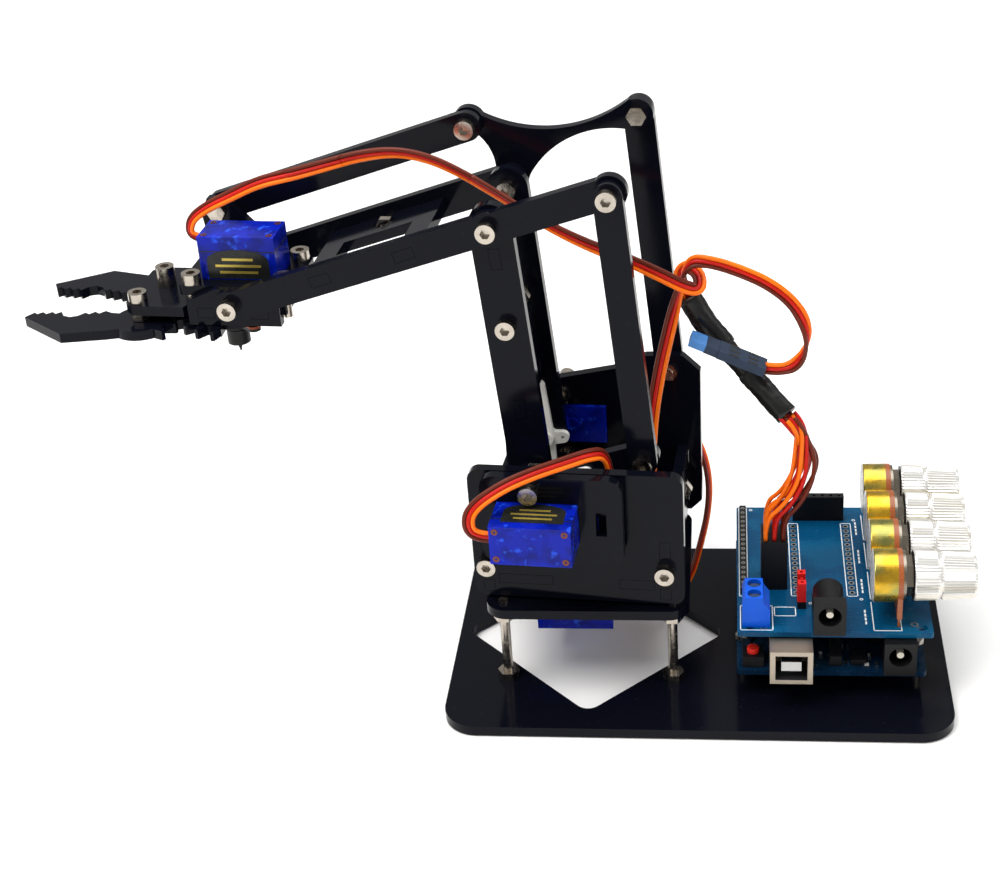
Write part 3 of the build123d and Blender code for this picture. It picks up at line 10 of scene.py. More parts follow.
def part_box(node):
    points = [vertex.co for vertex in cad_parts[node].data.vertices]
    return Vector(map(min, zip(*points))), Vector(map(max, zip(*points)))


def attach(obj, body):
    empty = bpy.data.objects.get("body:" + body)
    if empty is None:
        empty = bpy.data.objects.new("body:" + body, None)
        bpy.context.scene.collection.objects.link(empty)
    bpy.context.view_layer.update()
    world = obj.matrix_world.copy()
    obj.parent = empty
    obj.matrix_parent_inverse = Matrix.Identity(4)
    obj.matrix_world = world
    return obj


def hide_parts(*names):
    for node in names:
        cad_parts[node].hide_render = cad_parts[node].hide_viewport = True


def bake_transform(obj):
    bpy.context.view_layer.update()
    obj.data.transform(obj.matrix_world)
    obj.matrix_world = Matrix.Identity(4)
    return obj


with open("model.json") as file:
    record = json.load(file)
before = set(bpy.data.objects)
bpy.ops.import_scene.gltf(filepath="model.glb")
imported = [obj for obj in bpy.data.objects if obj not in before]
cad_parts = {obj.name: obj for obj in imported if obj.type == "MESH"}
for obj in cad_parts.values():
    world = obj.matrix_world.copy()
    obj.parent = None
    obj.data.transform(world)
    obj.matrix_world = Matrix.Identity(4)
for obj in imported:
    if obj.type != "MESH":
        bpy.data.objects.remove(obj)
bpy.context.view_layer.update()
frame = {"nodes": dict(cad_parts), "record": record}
NODES = frame["nodes"]
MM = 0.001

# ---- arm frame: u along the arm, v to the near side, w up, in millimetres -------------------
YAW_REST = math.radians(4.67)
ALONG = Vector((-math.cos(YAW_REST), math.sin(YAW_REST), 0))
NEARWARD = Vector((-math.sin(YAW_REST), -math.cos(YAW_REST), 0))
X_AXIS, Y_AXIS, UP = Vector((1, 0, 0)), Vector((0, 1, 0)), Vector((0, 0, 1))


def arm_point(u, v, w):
    return (ALONG * u + NEARWARD * v + UP * w) * MM


def arm_route(*points):
    return [arm_point(*point) for point in points]


def row_point(x, y, z):
    """A point of the shared frame, given in millimetres."""
    return Vector((x, y, z)) * MM


# ---- camera, light and floor ----------------------------------------------------------------
FOCAL_PX, FRAME_PX, SENSOR = 1804.31, 1000, 36.0
CAMERA_AT = row_point(41.4, -449.54, 330.2)
PITCH, YAW, ROLL = math.radians(29.96), math.radians(-8.43), math.radians(4.45)


def make_camera():
    forward = Vector((math.sin(YAW) * math.cos(PITCH), math.cos(YAW) * math.cos(PITCH), -math.sin(PITCH)))
    right = Vector((math.cos(YAW), -math.sin(YAW), 0))
    down = forward.cross(right)
    image_x = right * math.cos(ROLL) + down * math.sin(ROLL)
    image_y = down * math.cos(ROLL) - right * math.sin(ROLL)
    data = bpy.data.cameras.new("camera")
    data.sensor_width = SENSOR
    data.lens = FOCAL_PX / FRAME_PX * SENSOR
    data.clip_start, data.clip_end = 0.01, 20
    camera = bpy.data.objects.new("camera", data)
    bpy.context.scene.collection.objects.link(camera)
    turn = Matrix((image_x, -image_y, -forward)).transposed()
    camera.matrix_world = Matrix.Translation(CAMERA_AT) @ turn.to_4x4()
    bpy.context.scene.camera = camera


def area_light(name, at, target, size, power, colour=(1, 1, 1)):
    data = bpy.data.lights.new(name, "AREA")
    data.shape = "DISK"
    data.size, data.energy, data.color = size, power, colour
    light = bpy.data.objects.new(name, data)
    bpy.context.scene.collection.objects.link(light)
    light.location = at
    light.rotation_mode = "QUATERNION"
    light.rotation_quaternion = (Vector(target) - Vector(at)).to_track_quat("-Z", "Y")


def make_studio():
    world = bpy.data.worlds.new("studio")
    bpy.context.scene.world = world
    world.use_nodes = True
    back = world.node_tree.nodes["Background"]
    back.inputs["Color"].default_value = (1.0, 0.99, 0.97, 1)
    back.inputs["Strength"].default_value = 0.5
    area_light("key", (-0.5, -0.3, 1.0), (0, 0, 0.06), 0.7, 10.0, (1, 0.98, 0.95))
    area_light("top", (0.1, 0.25, 1.3), (0, 0, 0.0), 1.3, 14.0, (0.98, 0.99, 1))
    area_light("side", (0.9, -0.3, 0.5), (0.05, 0, 0.05), 0.5, 1.6)
    bpy.context.scene.view_settings.view_transform = "Standard"
    bpy.ops.mesh.primitive_grid_add(x_subdivisions=8, y_subdivisions=8, size=8, location=(0, 0, -0.0004))
    floor = bpy.context.object
    floor.name = "floor"
    look = Look("floor_paper", (0.94, 0.937, 0.93), roughness=0.75)
    look.mottle(0.015, 6.0)
    floor.data.materials.append(look.material)


# ---- materials --------------------------------------------------------------------------------
class Look:
    """A procedural material, built up from a Principled shader."""

    def __init__(self, name, colour, roughness=0.4, metallic=0.0, coat=0.0):
        self.material = bpy.data.materials.new(name)
        self.material.use_nodes = True
        self.tree = self.material.node_tree
        self.shader = self.tree.nodes["Principled BSDF"]
        self.colour = self.shade(colour)
        self.set("Base Color", (*colour, 1))
        self.set("Roughness", roughness)
        self.set("Metallic", metallic)
        self.set("Coat Weight", coat)
        self.set("Coat Roughness", 0.05)
        self.place = self.node("ShaderNodeTexCoord").outputs["Object"]
        self.height = None

    def set(self, socket, value):
        self.shader.inputs[socket].default_value = value

    def node(self, kind, **settings):
        made = self.tree.nodes.new(kind)
        for key, value in settings.items():
            setattr(made, key, value)
        return made

    def link(self, source, target):
        self.tree.links.new(source, target)

    def shade(self, colour):
        made = self.tree.nodes.new("ShaderNodeRGB")
        made.outputs[0].default_value = (*colour, 1)
        return made.outputs[0]

    def noise(self, scale, stretch=(1, 1, 1), detail=4.0, roughness=0.55):
        mapping = self.node("ShaderNodeMapping")
        mapping.inputs["Scale"].default_value = stretch
        self.link(self.place, mapping.inputs["Vector"])
        noise = self.node("ShaderNodeTexNoise")
        noise.inputs["Scale"].default_value = scale
        noise.inputs["Detail"].default_value = detail
        noise.inputs["Roughness"].default_value = roughness
        self.link(mapping.outputs["Vector"], noise.inputs["Vector"])
        return noise.outputs["Fac"]

    def ramp(self, source, low, high, start=0.0, end=1.0):
        made = self.node("ShaderNodeMapRange")
        made.inputs["From Min"].default_value = start
        made.inputs["From Max"].default_value = end
        made.inputs["To Min"].default_value = low
        made.inputs["To Max"].default_value = high
        self.link(source, made.inputs["Value"])
        return made.outputs["Result"]

    def mix(self, factor, first, second):
        made = self.node("ShaderNodeMix", data_type="RGBA")
        self.link(factor, made.inputs["Factor"])
        self.link(first, made.inputs["A"])
        self.link(second, made.inputs["B"])
        return made.outputs["Result"]

    def paint(self, factor, colour):
        """Mix a colour in where factor is 1."""
        self.colour = self.mix(factor, self.colour, self.shade(colour))
        self.link(self.colour, self.shader.inputs["Base Color"])

    def mottle(self, amount, scale, stretch=(1, 1, 1)):
        """Patches lighter by a share of the colour."""
        base = self.shader.inputs["Base Color"].default_value
        light = tuple(min(1.0, c * (1 + amount)) for c in base[:3])
        self.paint(self.ramp(self.noise(scale, stretch), 0, 1, 0.35, 0.7), light)

    def vary_roughness(self, low, high, scale, stretch=(1, 1, 1)):
        varied = self.ramp(self.noise(scale, stretch), low, high, 0.3, 0.75)
        self.link(varied, self.shader.inputs["Roughness"])

    def bump(self, source, distance, strength=0.5):
        made = self.node("ShaderNodeBump")
        made.inputs["Distance"].default_value = distance
        made.inputs["Strength"].default_value = strength
        self.link(source, made.inputs["Height"])
        if self.height is not None:
            self.link(self.height, made.inputs["Normal"])
        self.height = made.outputs["Normal"]
        self.link(self.height, self.shader.inputs["Normal"])

    def compare(self, value, threshold, above=True):
        made = self.node("ShaderNodeMath", operation="GREATER_THAN" if above else "LESS_THAN")
        self.link(value, made.inputs[0])
        made.inputs[1].default_value = threshold
        return made.outputs[0]

    def combine(self, operation, first, second):
        made = self.node("ShaderNodeMath", operation=operation, use_clamp=True)
        self.link(first, made.inputs[0])
        self.link(second, made.inputs[1])
        return made.outputs[0]

    def region(self, low, high):
        """1 inside a box given in millimetres, in the row frame."""
        split = self.node("ShaderNodeSeparateXYZ")
        self.link(self.place, split.inputs["Vector"])
        inside = None
        for axis in range(3):
            for bound, above in ((low[axis], True), (high[axis], False)):
                if bound is not None:
                    test = self.compare(split.outputs[axis], bound * MM, above)
                    inside = test if inside is None else self.combine("MULTIPLY", inside, test)
        return inside

    def steer(self, factor, socket, off, on):
        """A shader number that is off outside a region and on inside it."""
        self.link(self.ramp(factor, off, on), self.shader.inputs[socket])


def black_acrylic():
    look = Look("black_acrylic", (0.0026, 0.0031, 0.0066), roughness=0.1)
    look.set("Specular IOR Level", 0.11)
    look.vary_roughness(0.07, 0.2, 38)
    look.paint(look.ramp(look.noise(900, detail=2), 0, 0.5, 0.69, 0.74), (0.012, 0.012, 0.015))
    look.bump(look.noise(26, detail=2), 0.00012, 0.25)
    return look.material


def servo_blue():
    look = Look("servo_blue", (0.002, 0.012, 0.36), roughness=0.2)
    look.set("Specular IOR Level", 0.16)
    look.paint(look.ramp(look.noise(170, detail=3), 0, 0.85, 0.45, 0.6), (0.001, 0.006, 0.17))
    look.paint(look.ramp(look.noise(330, detail=2), 0, 0.8, 0.6, 0.72), (0.015, 0.09, 0.8))
    look.set("Subsurface Weight", 0.25)
    look.set("Subsurface Radius", (0.0006, 0.0012, 0.004))
    look.set("Subsurface Scale", 1.0)
    look.bump(look.noise(420, detail=2), 0.00006, 0.3)
    return look.material


def nickel():
    look = Look("nickel", (0.40, 0.36, 0.31), roughness=0.2, metallic=1.0)
    look.mottle(0.3, 240)
    look.vary_roughness(0.14, 0.34, 420)
    look.bump(look.noise(1500, (1, 1, 0.15), 2), 0.00003, 0.4)
    return look.material


def nylon():
    look = Look("white_nylon", (0.78, 0.78, 0.74), roughness=0.42)
    look.mottle(0.08, 90)
    look.set("Subsurface Weight", 0.15)
    look.set("Subsurface Radius", (0.001, 0.001, 0.0008))
    look.bump(look.noise(700, detail=2), 0.00003, 0.3)
    return look.material


def solder_mask(name, deep, trace):
    look = Look(name, deep, roughness=0.3)
    look.set("Specular IOR Level", 0.13)
    bricks = look.node("ShaderNodeTexBrick", offset=0.37, squash=1.0)
    sizes = (("Scale", 120.0), ("Mortar Size", 0.012), ("Brick Width", 0.9), ("Row Height", 0.11))
    for socket, value in sizes:
        bricks.inputs[socket].default_value = value
    bricks.inputs["Color1"].default_value = (0, 0, 0, 1)
    bricks.inputs["Color2"].default_value = (0, 0, 0, 1)
    bricks.inputs["Mortar"].default_value = (1, 1, 1, 1)
    look.link(look.place, bricks.inputs["Vector"])
    look.paint(look.ramp(bricks.outputs["Color"], 0, 0.55), trace)
    look.paint(look.ramp(look.noise(70, detail=2), 0, 0.5, 0.52, 0.6), trace)
    look.vary_roughness(0.16, 0.34, 160)
    look.bump(bricks.outputs["Color"], 0.00004, 0.5)
    return look.material


def moulded(name, colour, roughness):
    look = Look(name, colour, roughness=roughness)
    look.set("Specular IOR Level", 0.25)
    look.mottle(0.3, 130)
    look.vary_roughness(roughness - 0.08, roughness + 0.14, 300)
    look.bump(look.noise(900, detail=3), 0.00004, 0.4)
    return look.material


def sockets():
    """Tinned type B shell whose mouth walls carry painted shade, near black and not metallic, round a pale
    tongue, and black power jacks with pale tips.
    """
    look = Look("socket_metal", (0.006, 0.006, 0.007), roughness=0.38)
    look.set("Specular IOR Level", 0.2)
    shell = look.region((51, None, None), (64.6, None, 23.2))
    look.paint(shell, (0.40, 0.345, 0.28))
    # painted shade: the tinned inner walls of the mouth are painted near black to show the dark recess
    shaded_mouth = look.region((53.55, -40.0, 13.05), (62.55, -27.8, 21.35))
    look.paint(shaded_mouth, (0.02, 0.02, 0.022))
    look.paint(look.region((55.1, -40.0, 15.6), (61.0, -27.9, 18.8)), (0.62, 0.62, 0.6))
    for low, high in (((87.2, -33.0, 16.9), (89.9, -20.0, 19.3)), ((67.4, -33.0, 30.0), (70.0, -20.0, 32.4))):
        look.paint(look.region(low, high), (0.7, 0.66, 0.56))
    # the painted-shade mouth is left out of the metallic shell
    look.steer(look.combine("SUBTRACT", shell, shaded_mouth), "Metallic", 0.0, 1.0)
    look.bump(look.noise(600, detail=2), 0.00004, 0.4)
    return look.material


def board_parts():
    """Black sockets and chips, with red jumper caps."""
    look = Look("header_black", (0.006, 0.006, 0.0075), roughness=0.4)
    look.set("Specular IOR Level", 0.18)
    caps = look.region((60.0, -18.6, 27.2), (62.8, -10.6, 34.0))
    look.paint(caps, (0.62, 0.012, 0.01))
    look.vary_roughness(0.32, 0.5, 300)
    look.bump(look.noise(1100, detail=2), 0.00003, 0.4)
    return look.material


def screw_terminal():
    look = Look("terminal_blue", (0.0008, 0.085, 0.60), roughness=0.34)
    look.set("Specular IOR Level", 0.2)
    look.mottle(0.15, 160)
    for y in (-25.05, -19.95):
        screw = look.region((45.95, y - 1.85, 30.6), (49.65, y + 1.85, 33.6))
        look.paint(screw, (0.05, 0.07, 0.12))
    look.bump(look.noise(900, detail=2), 0.00004, 0.4)
    return look.material


def potentiometer():
    """Yellow-passivated can with a grey back, brown phenolic wafer and a plain steel bushing."""
    look = Look("pot_brass", (0.60, 0.36, 0.03), roughness=0.24, metallic=1.0)
    look.paint(look.ramp(look.noise(90, (1, 1, 2.2), 2), 0, 0.85, 0.42, 0.62), (0.24, 0.27, 0.09))
    look.paint(look.ramp(look.noise(140, detail=3), 0, 0.6, 0.55, 0.75), (0.80, 0.56, 0.08))
    back = look.region((None, None, None), (80.75, None, None))
    look.paint(back, (0.5, 0.5, 0.49))
    wafer = look.region((87.35, None, None), (88.85, None, None))
    look.paint(wafer, (0.30, 0.075, 0.016))
    bushing = look.region((88.84, None, None), (None, None, None))
    look.paint(bushing, (0.24, 0.21, 0.17))
    look.steer(look.combine("MAXIMUM", wafer, back), "Metallic", 1.0, 0.0)
    look.vary_roughness(0.2, 0.4, 380)
    return look.material


def horn_black():
    """Dark horn with a copper-coloured washer."""
    look = Look("horn_black", (0.007, 0.0065, 0.007), roughness=0.4)
    look.set("Specular IOR Level", 0.2)
    look.paint(look.region((None, None, 103.6), (None, None, 105.4)), (0.22, 0.045, 0.012))
    look.bump(look.noise(700, detail=2), 0.00004, 0.3)
    return look.material


def knob_clear():
    """Clear plastic over silver, seen as bright silver with warm streaks."""
    look = Look("knob_clear", (0.74, 0.73, 0.70), roughness=0.14, metallic=0.5, coat=0.4)
    look.paint(look.ramp(look.noise(300, (0.03, 1, 1), 2), 0, 0.6, 0.5, 0.66), (0.66, 0.58, 0.42))
    look.bump(look.noise(500, detail=2), 0.00002, 0.15)
    return look.material


def knob_silver():
    look = Look("knob_silver", (0.8, 0.79, 0.76), roughness=0.16, metallic=1.0)
    look.vary_roughness(0.1, 0.24, 300, (0.2, 1, 1))
    return look.material


def wire(name, colour):
    look = Look(name, colour, roughness=0.36)
    look.set("Specular IOR Level", 0.22)
    look.mottle(0.22, 120)
    look.bump(look.noise(650, detail=2), 0.00004, 0.3)
    return look.material


def shrink_sleeve():
    look = Look("sleeve_black", (0.007, 0.007, 0.007), roughness=0.28)
    look.set("Specular IOR Level", 0.3)
    look.vary_roughness(0.2, 0.45, 260)
    look.bump(look.noise(330, detail=3), 0.0002, 0.5)
    return look.material


def make_materials():
    looks = {
        "black_acrylic": black_acrylic(), "servo_blue": servo_blue(), "white_nylon": nylon(),
        "nickel": nickel(),
        "board_blue": solder_mask("board_blue", (0.0015, 0.012, 0.034), (0.004, 0.03, 0.07)),
        "shield_teal": solder_mask("shield_teal", (0.0008, 0.052, 0.135), (0.003, 0.1, 0.21)),
        "socket_metal": sockets(), "header_black": board_parts(), "terminal_blue": screw_terminal(),
        "pot_brass": potentiometer(), "knob_clear": knob_clear(),
        "button_red": moulded("button_red", (0.62, 0.02, 0.012), 0.3),
        "lead_orange": wire("wire_orange", (0.88, 0.15, 0.003)), "sleeve_black": shrink_sleeve(),
    }
    for row in frame["record"]["subparts"]:
        mesh = NODES[row["node"]].data
        mesh.materials.clear()
        mesh.materials.append(looks[row["material_slot"]])
    looks["wire_red"] = wire("wire_red", (0.46, 0.008, 0.004))
    looks["wire_brown"] = wire("wire_brown", (0.11, 0.014, 0.005))
    looks["tin"] = Look("tinned", (0.34, 0.33, 0.3), roughness=0.35, metallic=1.0).material
    NODES["gripper_horn"].data.materials[0] = horn_black()
    looks["silver"] = knob_silver()
    looks["copper"] = Look("copper", (0.16, 0.05, 0.02), roughness=0.4, metallic=0.7).material
    looks["ink"] = moulded("silkscreen_white", (0.72, 0.76, 0.78), 0.5)
    looks["label"] = moulded("label_dark", (0.012, 0.013, 0.012), 0.25)
    looks["gold"] = Look("label_gold", (0.5, 0.38, 0.07), roughness=0.3, metallic=0.6).material
    looks["plug"] = moulded("connector_slate", (0.012, 0.024, 0.05), 0.35)
    looks["plug_blue"] = moulded("connector_blue", (0.05, 0.17, 0.42), 0.3)
    return looks


# ---- mesh helpers ----------------------------------------------------------------------------
def to_object(name, built, *materials):
    mesh = bpy.data.meshes.new(name)
    bmesh.ops.recalc_face_normals(built, faces=built.faces)
    built.to_mesh(mesh)
    built.free()
    for material in materials:
        mesh.materials.append(material)
    made = bpy.data.objects.new(name, mesh)
    bpy.context.scene.collection.objects.link(made)
    return made


def add_block(built, centre, x_axis, y_axis, size, material=0):
    """A box of a size, placed by its centre and two of its axes, all in metres."""
    z_axis = x_axis.cross(y_axis)
    corners = []
    for i in (-0.5, 0.5):
        for j in (-0.5, 0.5):
            for k in (-0.5, 0.5):
                at = centre + x_axis * size[0] * i + y_axis * size[1] * j + z_axis * size[2] * k
                corners.append(built.verts.new(at))
    for quad in ((0, 1, 3, 2), (4, 6, 7, 5), (0, 4, 5, 1), (2, 3, 7, 6), (0, 2, 6, 4), (1, 5, 7, 3)):
        face = built.faces.new([corners[i] for i in quad])
        face.material_index = material


def add_prism(built, outline, origin, x_axis, y_axis, thickness, material=0):
    """An outline of (x, y) in metres, raised by a thickness along x cross y."""
    normal = x_axis.cross(y_axis)
    rings = []
    for height in (0, thickness):
        base = origin + normal * height
        rings.append([built.verts.new(base + x_axis * x + y_axis * y) for x, y in outline])
    count = len(outline)
    sides = [[rings[0][i], rings[0][(i + 1) % count], rings[1][(i + 1) % count], rings[1][i]]
             for i in range(count)]
    for corners in [rings[0][::-1], rings[1]] + sides:
        built.faces.new(corners).material_index = material


def add_ring(built, centre, normal, inner, outer, thickness, sides=20, material=0):
    """A flat washer."""
    x_axis = normal.orthogonal().normalized()
    y_axis = normal.cross(x_axis)
    loops = []
    for radius, height in ((inner, 0), (outer, 0), (outer, thickness), (inner, thickness)):
        loop = []
        for i in range(sides):
            angle = 2 * math.pi * i / sides
            spoke = x_axis * math.cos(angle) + y_axis * math.sin(angle)
            loop.append(built.verts.new(centre + spoke * radius + normal * height))
        loops.append(loop)
    for first, second in zip(loops, loops[1:] + loops[:1]):
        for i in range(sides):
            j = (i + 1) % sides
            built.faces.new([first[i], first[j], second[j], second[i]]).material_index = material


def add_tube(built, centres, frames, radius, sides=12, material=0):
    """A round tube along centres; frames are two unit vectors across it at each centre."""
    rings = []
    for centre, (across, over) in zip(centres, frames):
        ring = []
        for i in range(sides):
            angle = 2 * math.pi * i / sides
            spoke = across * math.cos(angle) + over * math.sin(angle)
            ring.append(built.verts.new(centre + spoke * radius))
        rings.append(ring)
    for first, second in zip(rings, rings[1:]):
        for i in range(sides):
            j = (i + 1) % sides
            face = built.faces.new([first[i], first[j], second[j], second[i]])
            face.material_index, face.smooth = material, True
    for cap in (rings[0][::-1], rings[-1]):
        built.faces.new(cap).material_index = material


def revolve(built, profile, origin, axis, sides, ripple=None, material=0):
    """Turn (x, radius) points about an axis; ripple gives a radius factor for a point and a step."""
    across = axis.orthogonal().normalized()
    over = axis.cross(across)
    rings = []
    for index, (along, radius) in enumerate(profile):
        ring = []
        for i in range(sides):
            angle = 2 * math.pi * i / sides
            reach = radius * (ripple(index, i) if ripple else 1)
            spoke = across * math.cos(angle) + over * math.sin(angle)
            ring.append(built.verts.new(origin + axis * along + spoke * reach))
        rings.append(ring)
    for first, second in zip(rings, rings[1:] + rings[:1]):
        for i in range(sides):
            j = (i + 1) % sides
            built.faces.new([first[i], first[j], second[j], second[i]]).material_index = material


# ---- leads -------------------------------------------------------------------------------------
WIRE = 1.25 * MM
WIRE_STEPS = 10
PIN_PITCH = 2.54


def smooth_line(route):
    """Points along the route's NURBS spline."""
    data = bpy.data.curves.new("route", "CURVE")
    data.dimensions = "3D"
    data.resolution_u = WIRE_STEPS
    spline = data.splines.new("NURBS")
    spline.points.add(len(route) - 1)
    for point, at in zip(spline.points, route):
        point.co = (*at, 1)
    spline.order_u = 3
    spline.use_endpoint_u = True
    holder = bpy.data.objects.new("route", data)
    bpy.context.scene.collection.objects.link(holder)
    mesh = bpy.data.meshes.new_from_object(holder)
    points = [vertex.co.copy() for vertex in mesh.vertices]
    bpy.data.objects.remove(holder)
    bpy.data.meshes.remove(mesh)
    return points


def carried_frames(points, across):
    """Two directions across a line at each point, carried along it without twist."""
    frames = []
    for index in range(len(points)):
        before, after = points[max(index - 1, 0)], points[min(index + 1, len(points) - 1)]
        tangent = (after - before).normalized()
        across = (across - tangent * across.dot(tangent)).normalized()
        frames.append((across, tangent.cross(across)))
    return frames


def turned_frames(points, frames, route, face, turns):
    """Frames whose flat side meets a direction; turns are (route point, half turns from there)."""
    keys = [(nearest(points, route[index]), math.pi * half) for index, half in turns]
    first, start = keys[0][0], nearest(points, route[max(turns[0][0] - 3, 0)])
    made = list(frames)
    for i in range(start, len(points)):
        across, over = frames[i]
        tangent = across.cross(over)
        flat = face.cross(tangent).normalized()
        if i < first:
            swing = math.atan2(tangent.dot(across.cross(flat)), across.dot(flat))
            across = Matrix.Rotation(swing * (i - start) / (first - start), 3, tangent) @ across
        else:
            roll = keys[-1][1]
            for (low, before), (high, after) in zip(keys, keys[1:]):
                if low <= i < high:
                    roll = before + (after - before) * (i - low) / (high - low)
            across = Matrix.Rotation(roll, 3, tangent) @ flat
        made[i] = (across, tangent.cross(across))
    return made


def nearest(points, at):
    return min(range(len(points)), key=lambda i: (points[i] - at).length)


def ribbon(name, points, frames, looks, node):
    """Three wires side by side, standing for one lead node."""
    built = bmesh.new()
    for place in (-1, 0, 1):
        shifted = [at + across * place * WIRE for at, (across, _) in zip(points, frames)]
        add_tube(built, shifted, frames, WIRE / 2, material=place + 1)
    made = to_object(name, built, looks["lead_orange"], looks["wire_red"], looks["wire_brown"])
    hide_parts(node)
    return made


GRIPPER_LEAD = arm_route(
    (109.8, -8, 128.7), (114.0, -8, 128.7), (113.6, -8.4, 133.8), (108.4, -9, 137.6),
    (101.0, -9.5, 140.9), (92.0, -10, 145.1), (82.0, -10, 147.4), (72.0, -10, 150.2), (61.5, -10, 153.2),
    (51.0, -9.8, 154.6), (41.5, -9.2, 152.9), (33.5, -8.6, 149.4), (25.5, -7.6, 145.0), (17.0, -6.0, 140.2),
    (7.2, -3.8, 135.0), (-3.4, -2, 130.6), (-13.6, -0.6, 127.4), (-22.7, 0.6, 123.6), (-30.4, 0.8, 119.6),
    (-33.2, -4.0, 117.6), (-32.0, -9.8, 119.8), (-28.0, -13.0, 120.4), (-25.62, -13.35, 116.29),
    (-28.7, -13, 110.9))
LEAD_CUTS = (("wrist", 8, "gripper", "forearm"), ("elbow", 12, "forearm", "triangle"),
             ("span", 16, "triangle", "lower_arm"), ("drop", None, "lower_arm", "turntable"))
NEAR_LEAD = arm_route(
    (21.2, 38.5, 61.0), (25.2, 38.5, 61.0), (27.6, 38.8, 64.2),
    (26.6, 37.4, 69.2), (18.6, 34.6, 74.6), (10.0, 31.4, 77.6), (2.0, 27.6, 79.0), (-4.8, 22.8, 79.4),
    (-8.4, 17.6, 76.8), (-9.6, 16.4, 67.6), (-10.8, 16.8, 57.0), (-15.0, 15.4, 46.2), (-18.4, 9.4, 41.6),
    (-18.8, 2.6, 43.8), (-18.2, -1.2, 51.6), (-18.0, -1.4, 64.0), (-19.0, -2.0, 78.5), (-21.4, -3.0, 92.5),
    (-24.4, -4.8, 105.6), (-27.0, -6.0, 116.6), (-29.4, -6.4, 124.6), (-35.2, -5.8, 125.0),
    (-43.4, -5.0, 122.8), (-52.0, -4.2, 119.2), (-59.2, -3.6, 113.2), (-62.8, -3.0, 104.8),
    (-61.0, -3.0, 97.4), (-56.4, -3.0, 93.4), (-50.8, -3.0, 94.1))
BASE_LEAD = [row_point(5.9, 0, 11.5), row_point(11.5, 0, 11.5), row_point(18.5, 3.6, 10.0),
             row_point(24.6, 9.4, 10.0), row_point(29.2, 16.6, 12.6)]
BASE_LEAD += arm_route((-29.5, -27.5, 17.5), (-31.6, -34.4, 26.5), (-31.8, -37.2, 36.5), (-29.4, -39.2, 46.5),
                       (-24.0, -41.2, 54.5), (-16.5, -43.2, 59.4), (-9.0, -44.0, 60.4), (-1.6, -44.0, 60.4))
SLEEVE_ROUTE = arm_route((-28.7, -13, 110.9), (-33.1, -12.5, 103.2), (-39.4, -11.5, 95.7),
                         (-45.4, -9, 89.8), (-51, -5, 85.2), (-57.1, -1, 80.5))


def gripper_lead(looks):
    """The gripper servo's lead, cut where it passes from one body to the next."""
    points = smooth_line(GRIPPER_LEAD)
    frames = carried_frames(points, -(NEARWARD * 0.5 + UP * 0.87))
    turns = ((6, 0.12), (9, 0.3), (13, 0.34), (17, 0.06), (18, 0.0), (23, 0.0))
    frames = turned_frames(points, frames, GRIPPER_LEAD, NEARWARD * 0.87 + UP * 0.5, turns)
    start = 0
    for name, cut, first_body, second_body in LEAD_CUTS:
        end = len(points) - 1
        if cut:
            end = nearest(points, (GRIPPER_LEAD[cut - 1] + GRIPPER_LEAD[cut]) / 2)
        stretch, turned = points[start:end + 1], frames[start:end + 1]
        made = ribbon("gripper_lead_" + name + "_wires", stretch, turned, looks, "gripper_lead_" + name)
        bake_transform(made)
        start = end


CONNECTOR_WIDE, CONNECTOR_THICK = 6.6 * MM, 2.6 * MM


def connector(looks):
    """In-line plug: a slate housing with latch windows, and a blue tip."""
    axis = (ALONG * 20.7 + UP * 8.8).normalized()
    side = axis.cross(NEARWARD)
    start = NEAR_LEAD[-1]
    built = bmesh.new()
    add_block(built, start + axis * 7.0 * MM, axis, NEARWARD, (14.0 * MM, CONNECTOR_WIDE, CONNECTOR_THICK))
    add_block(built, start + axis * 15.9 * MM, axis, NEARWARD, (3.8 * MM, 6.2 * MM, 2.5 * MM))
    add_block(built, start + axis * 20.1 * MM, axis, NEARWARD, (4.7 * MM, 6.0 * MM, 2.3 * MM), 1)
    for place in (-1, 0, 1):
        for at in (4.0, 9.6):
            window = start + axis * at * MM + NEARWARD * place * PIN_PITCH * MM + side * (CONNECTOR_THICK / 2)
            add_block(built, window, axis, NEARWARD, (3.0 * MM, 1.1 * MM, 0.2 * MM), 2)
    made = to_object("lead_connector", built, looks["plug"], looks["plug_blue"], looks["label"])
    bevel(made, 0.25 * MM)
    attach(made, "turntable")
    return made


def bevel(made, width, segments=2):
    modifier = made.modifiers.new("edges", "BEVEL")
    modifier.width, modifier.segments, modifier.limit_method = width, segments, "ANGLE"


def near_lead(looks):
    points = smooth_line(NEAR_LEAD)
    frames = carried_frames(points, -UP)
    frames = turned_frames(points, frames, NEAR_LEAD, NEARWARD, ((15, 0), (18, 0), (21, 1), (24, 1), (27, 0)))
    made = ribbon("near_servo_lead_wires", points, frames, looks, "near_servo_lead")
    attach(made, "turntable")
    connector(looks)


def base_lead(looks):
    points = smooth_line(BASE_LEAD)
    made = ribbon("base_servo_lead_wires", points, carried_frames(points, UP), looks, "base_servo_lead")
    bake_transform(made)


# each piece's start and end, as shares of the route, and its radius in millimetres
SLEEVE_PIECES = ((0.0, 0.36, 3.55), (0.3, 0.72, 3.05), (0.64, 1.0, 3.3))
SLEEVE_SIDES, SLEEVE_FLAT = 24, 0.74


def wrinkle(angle, index):
    return 1 + 0.03 * math.sin(3 * angle + 0.5 * index) + 0.02 * math.sin(1.9 * index + 2 * angle)


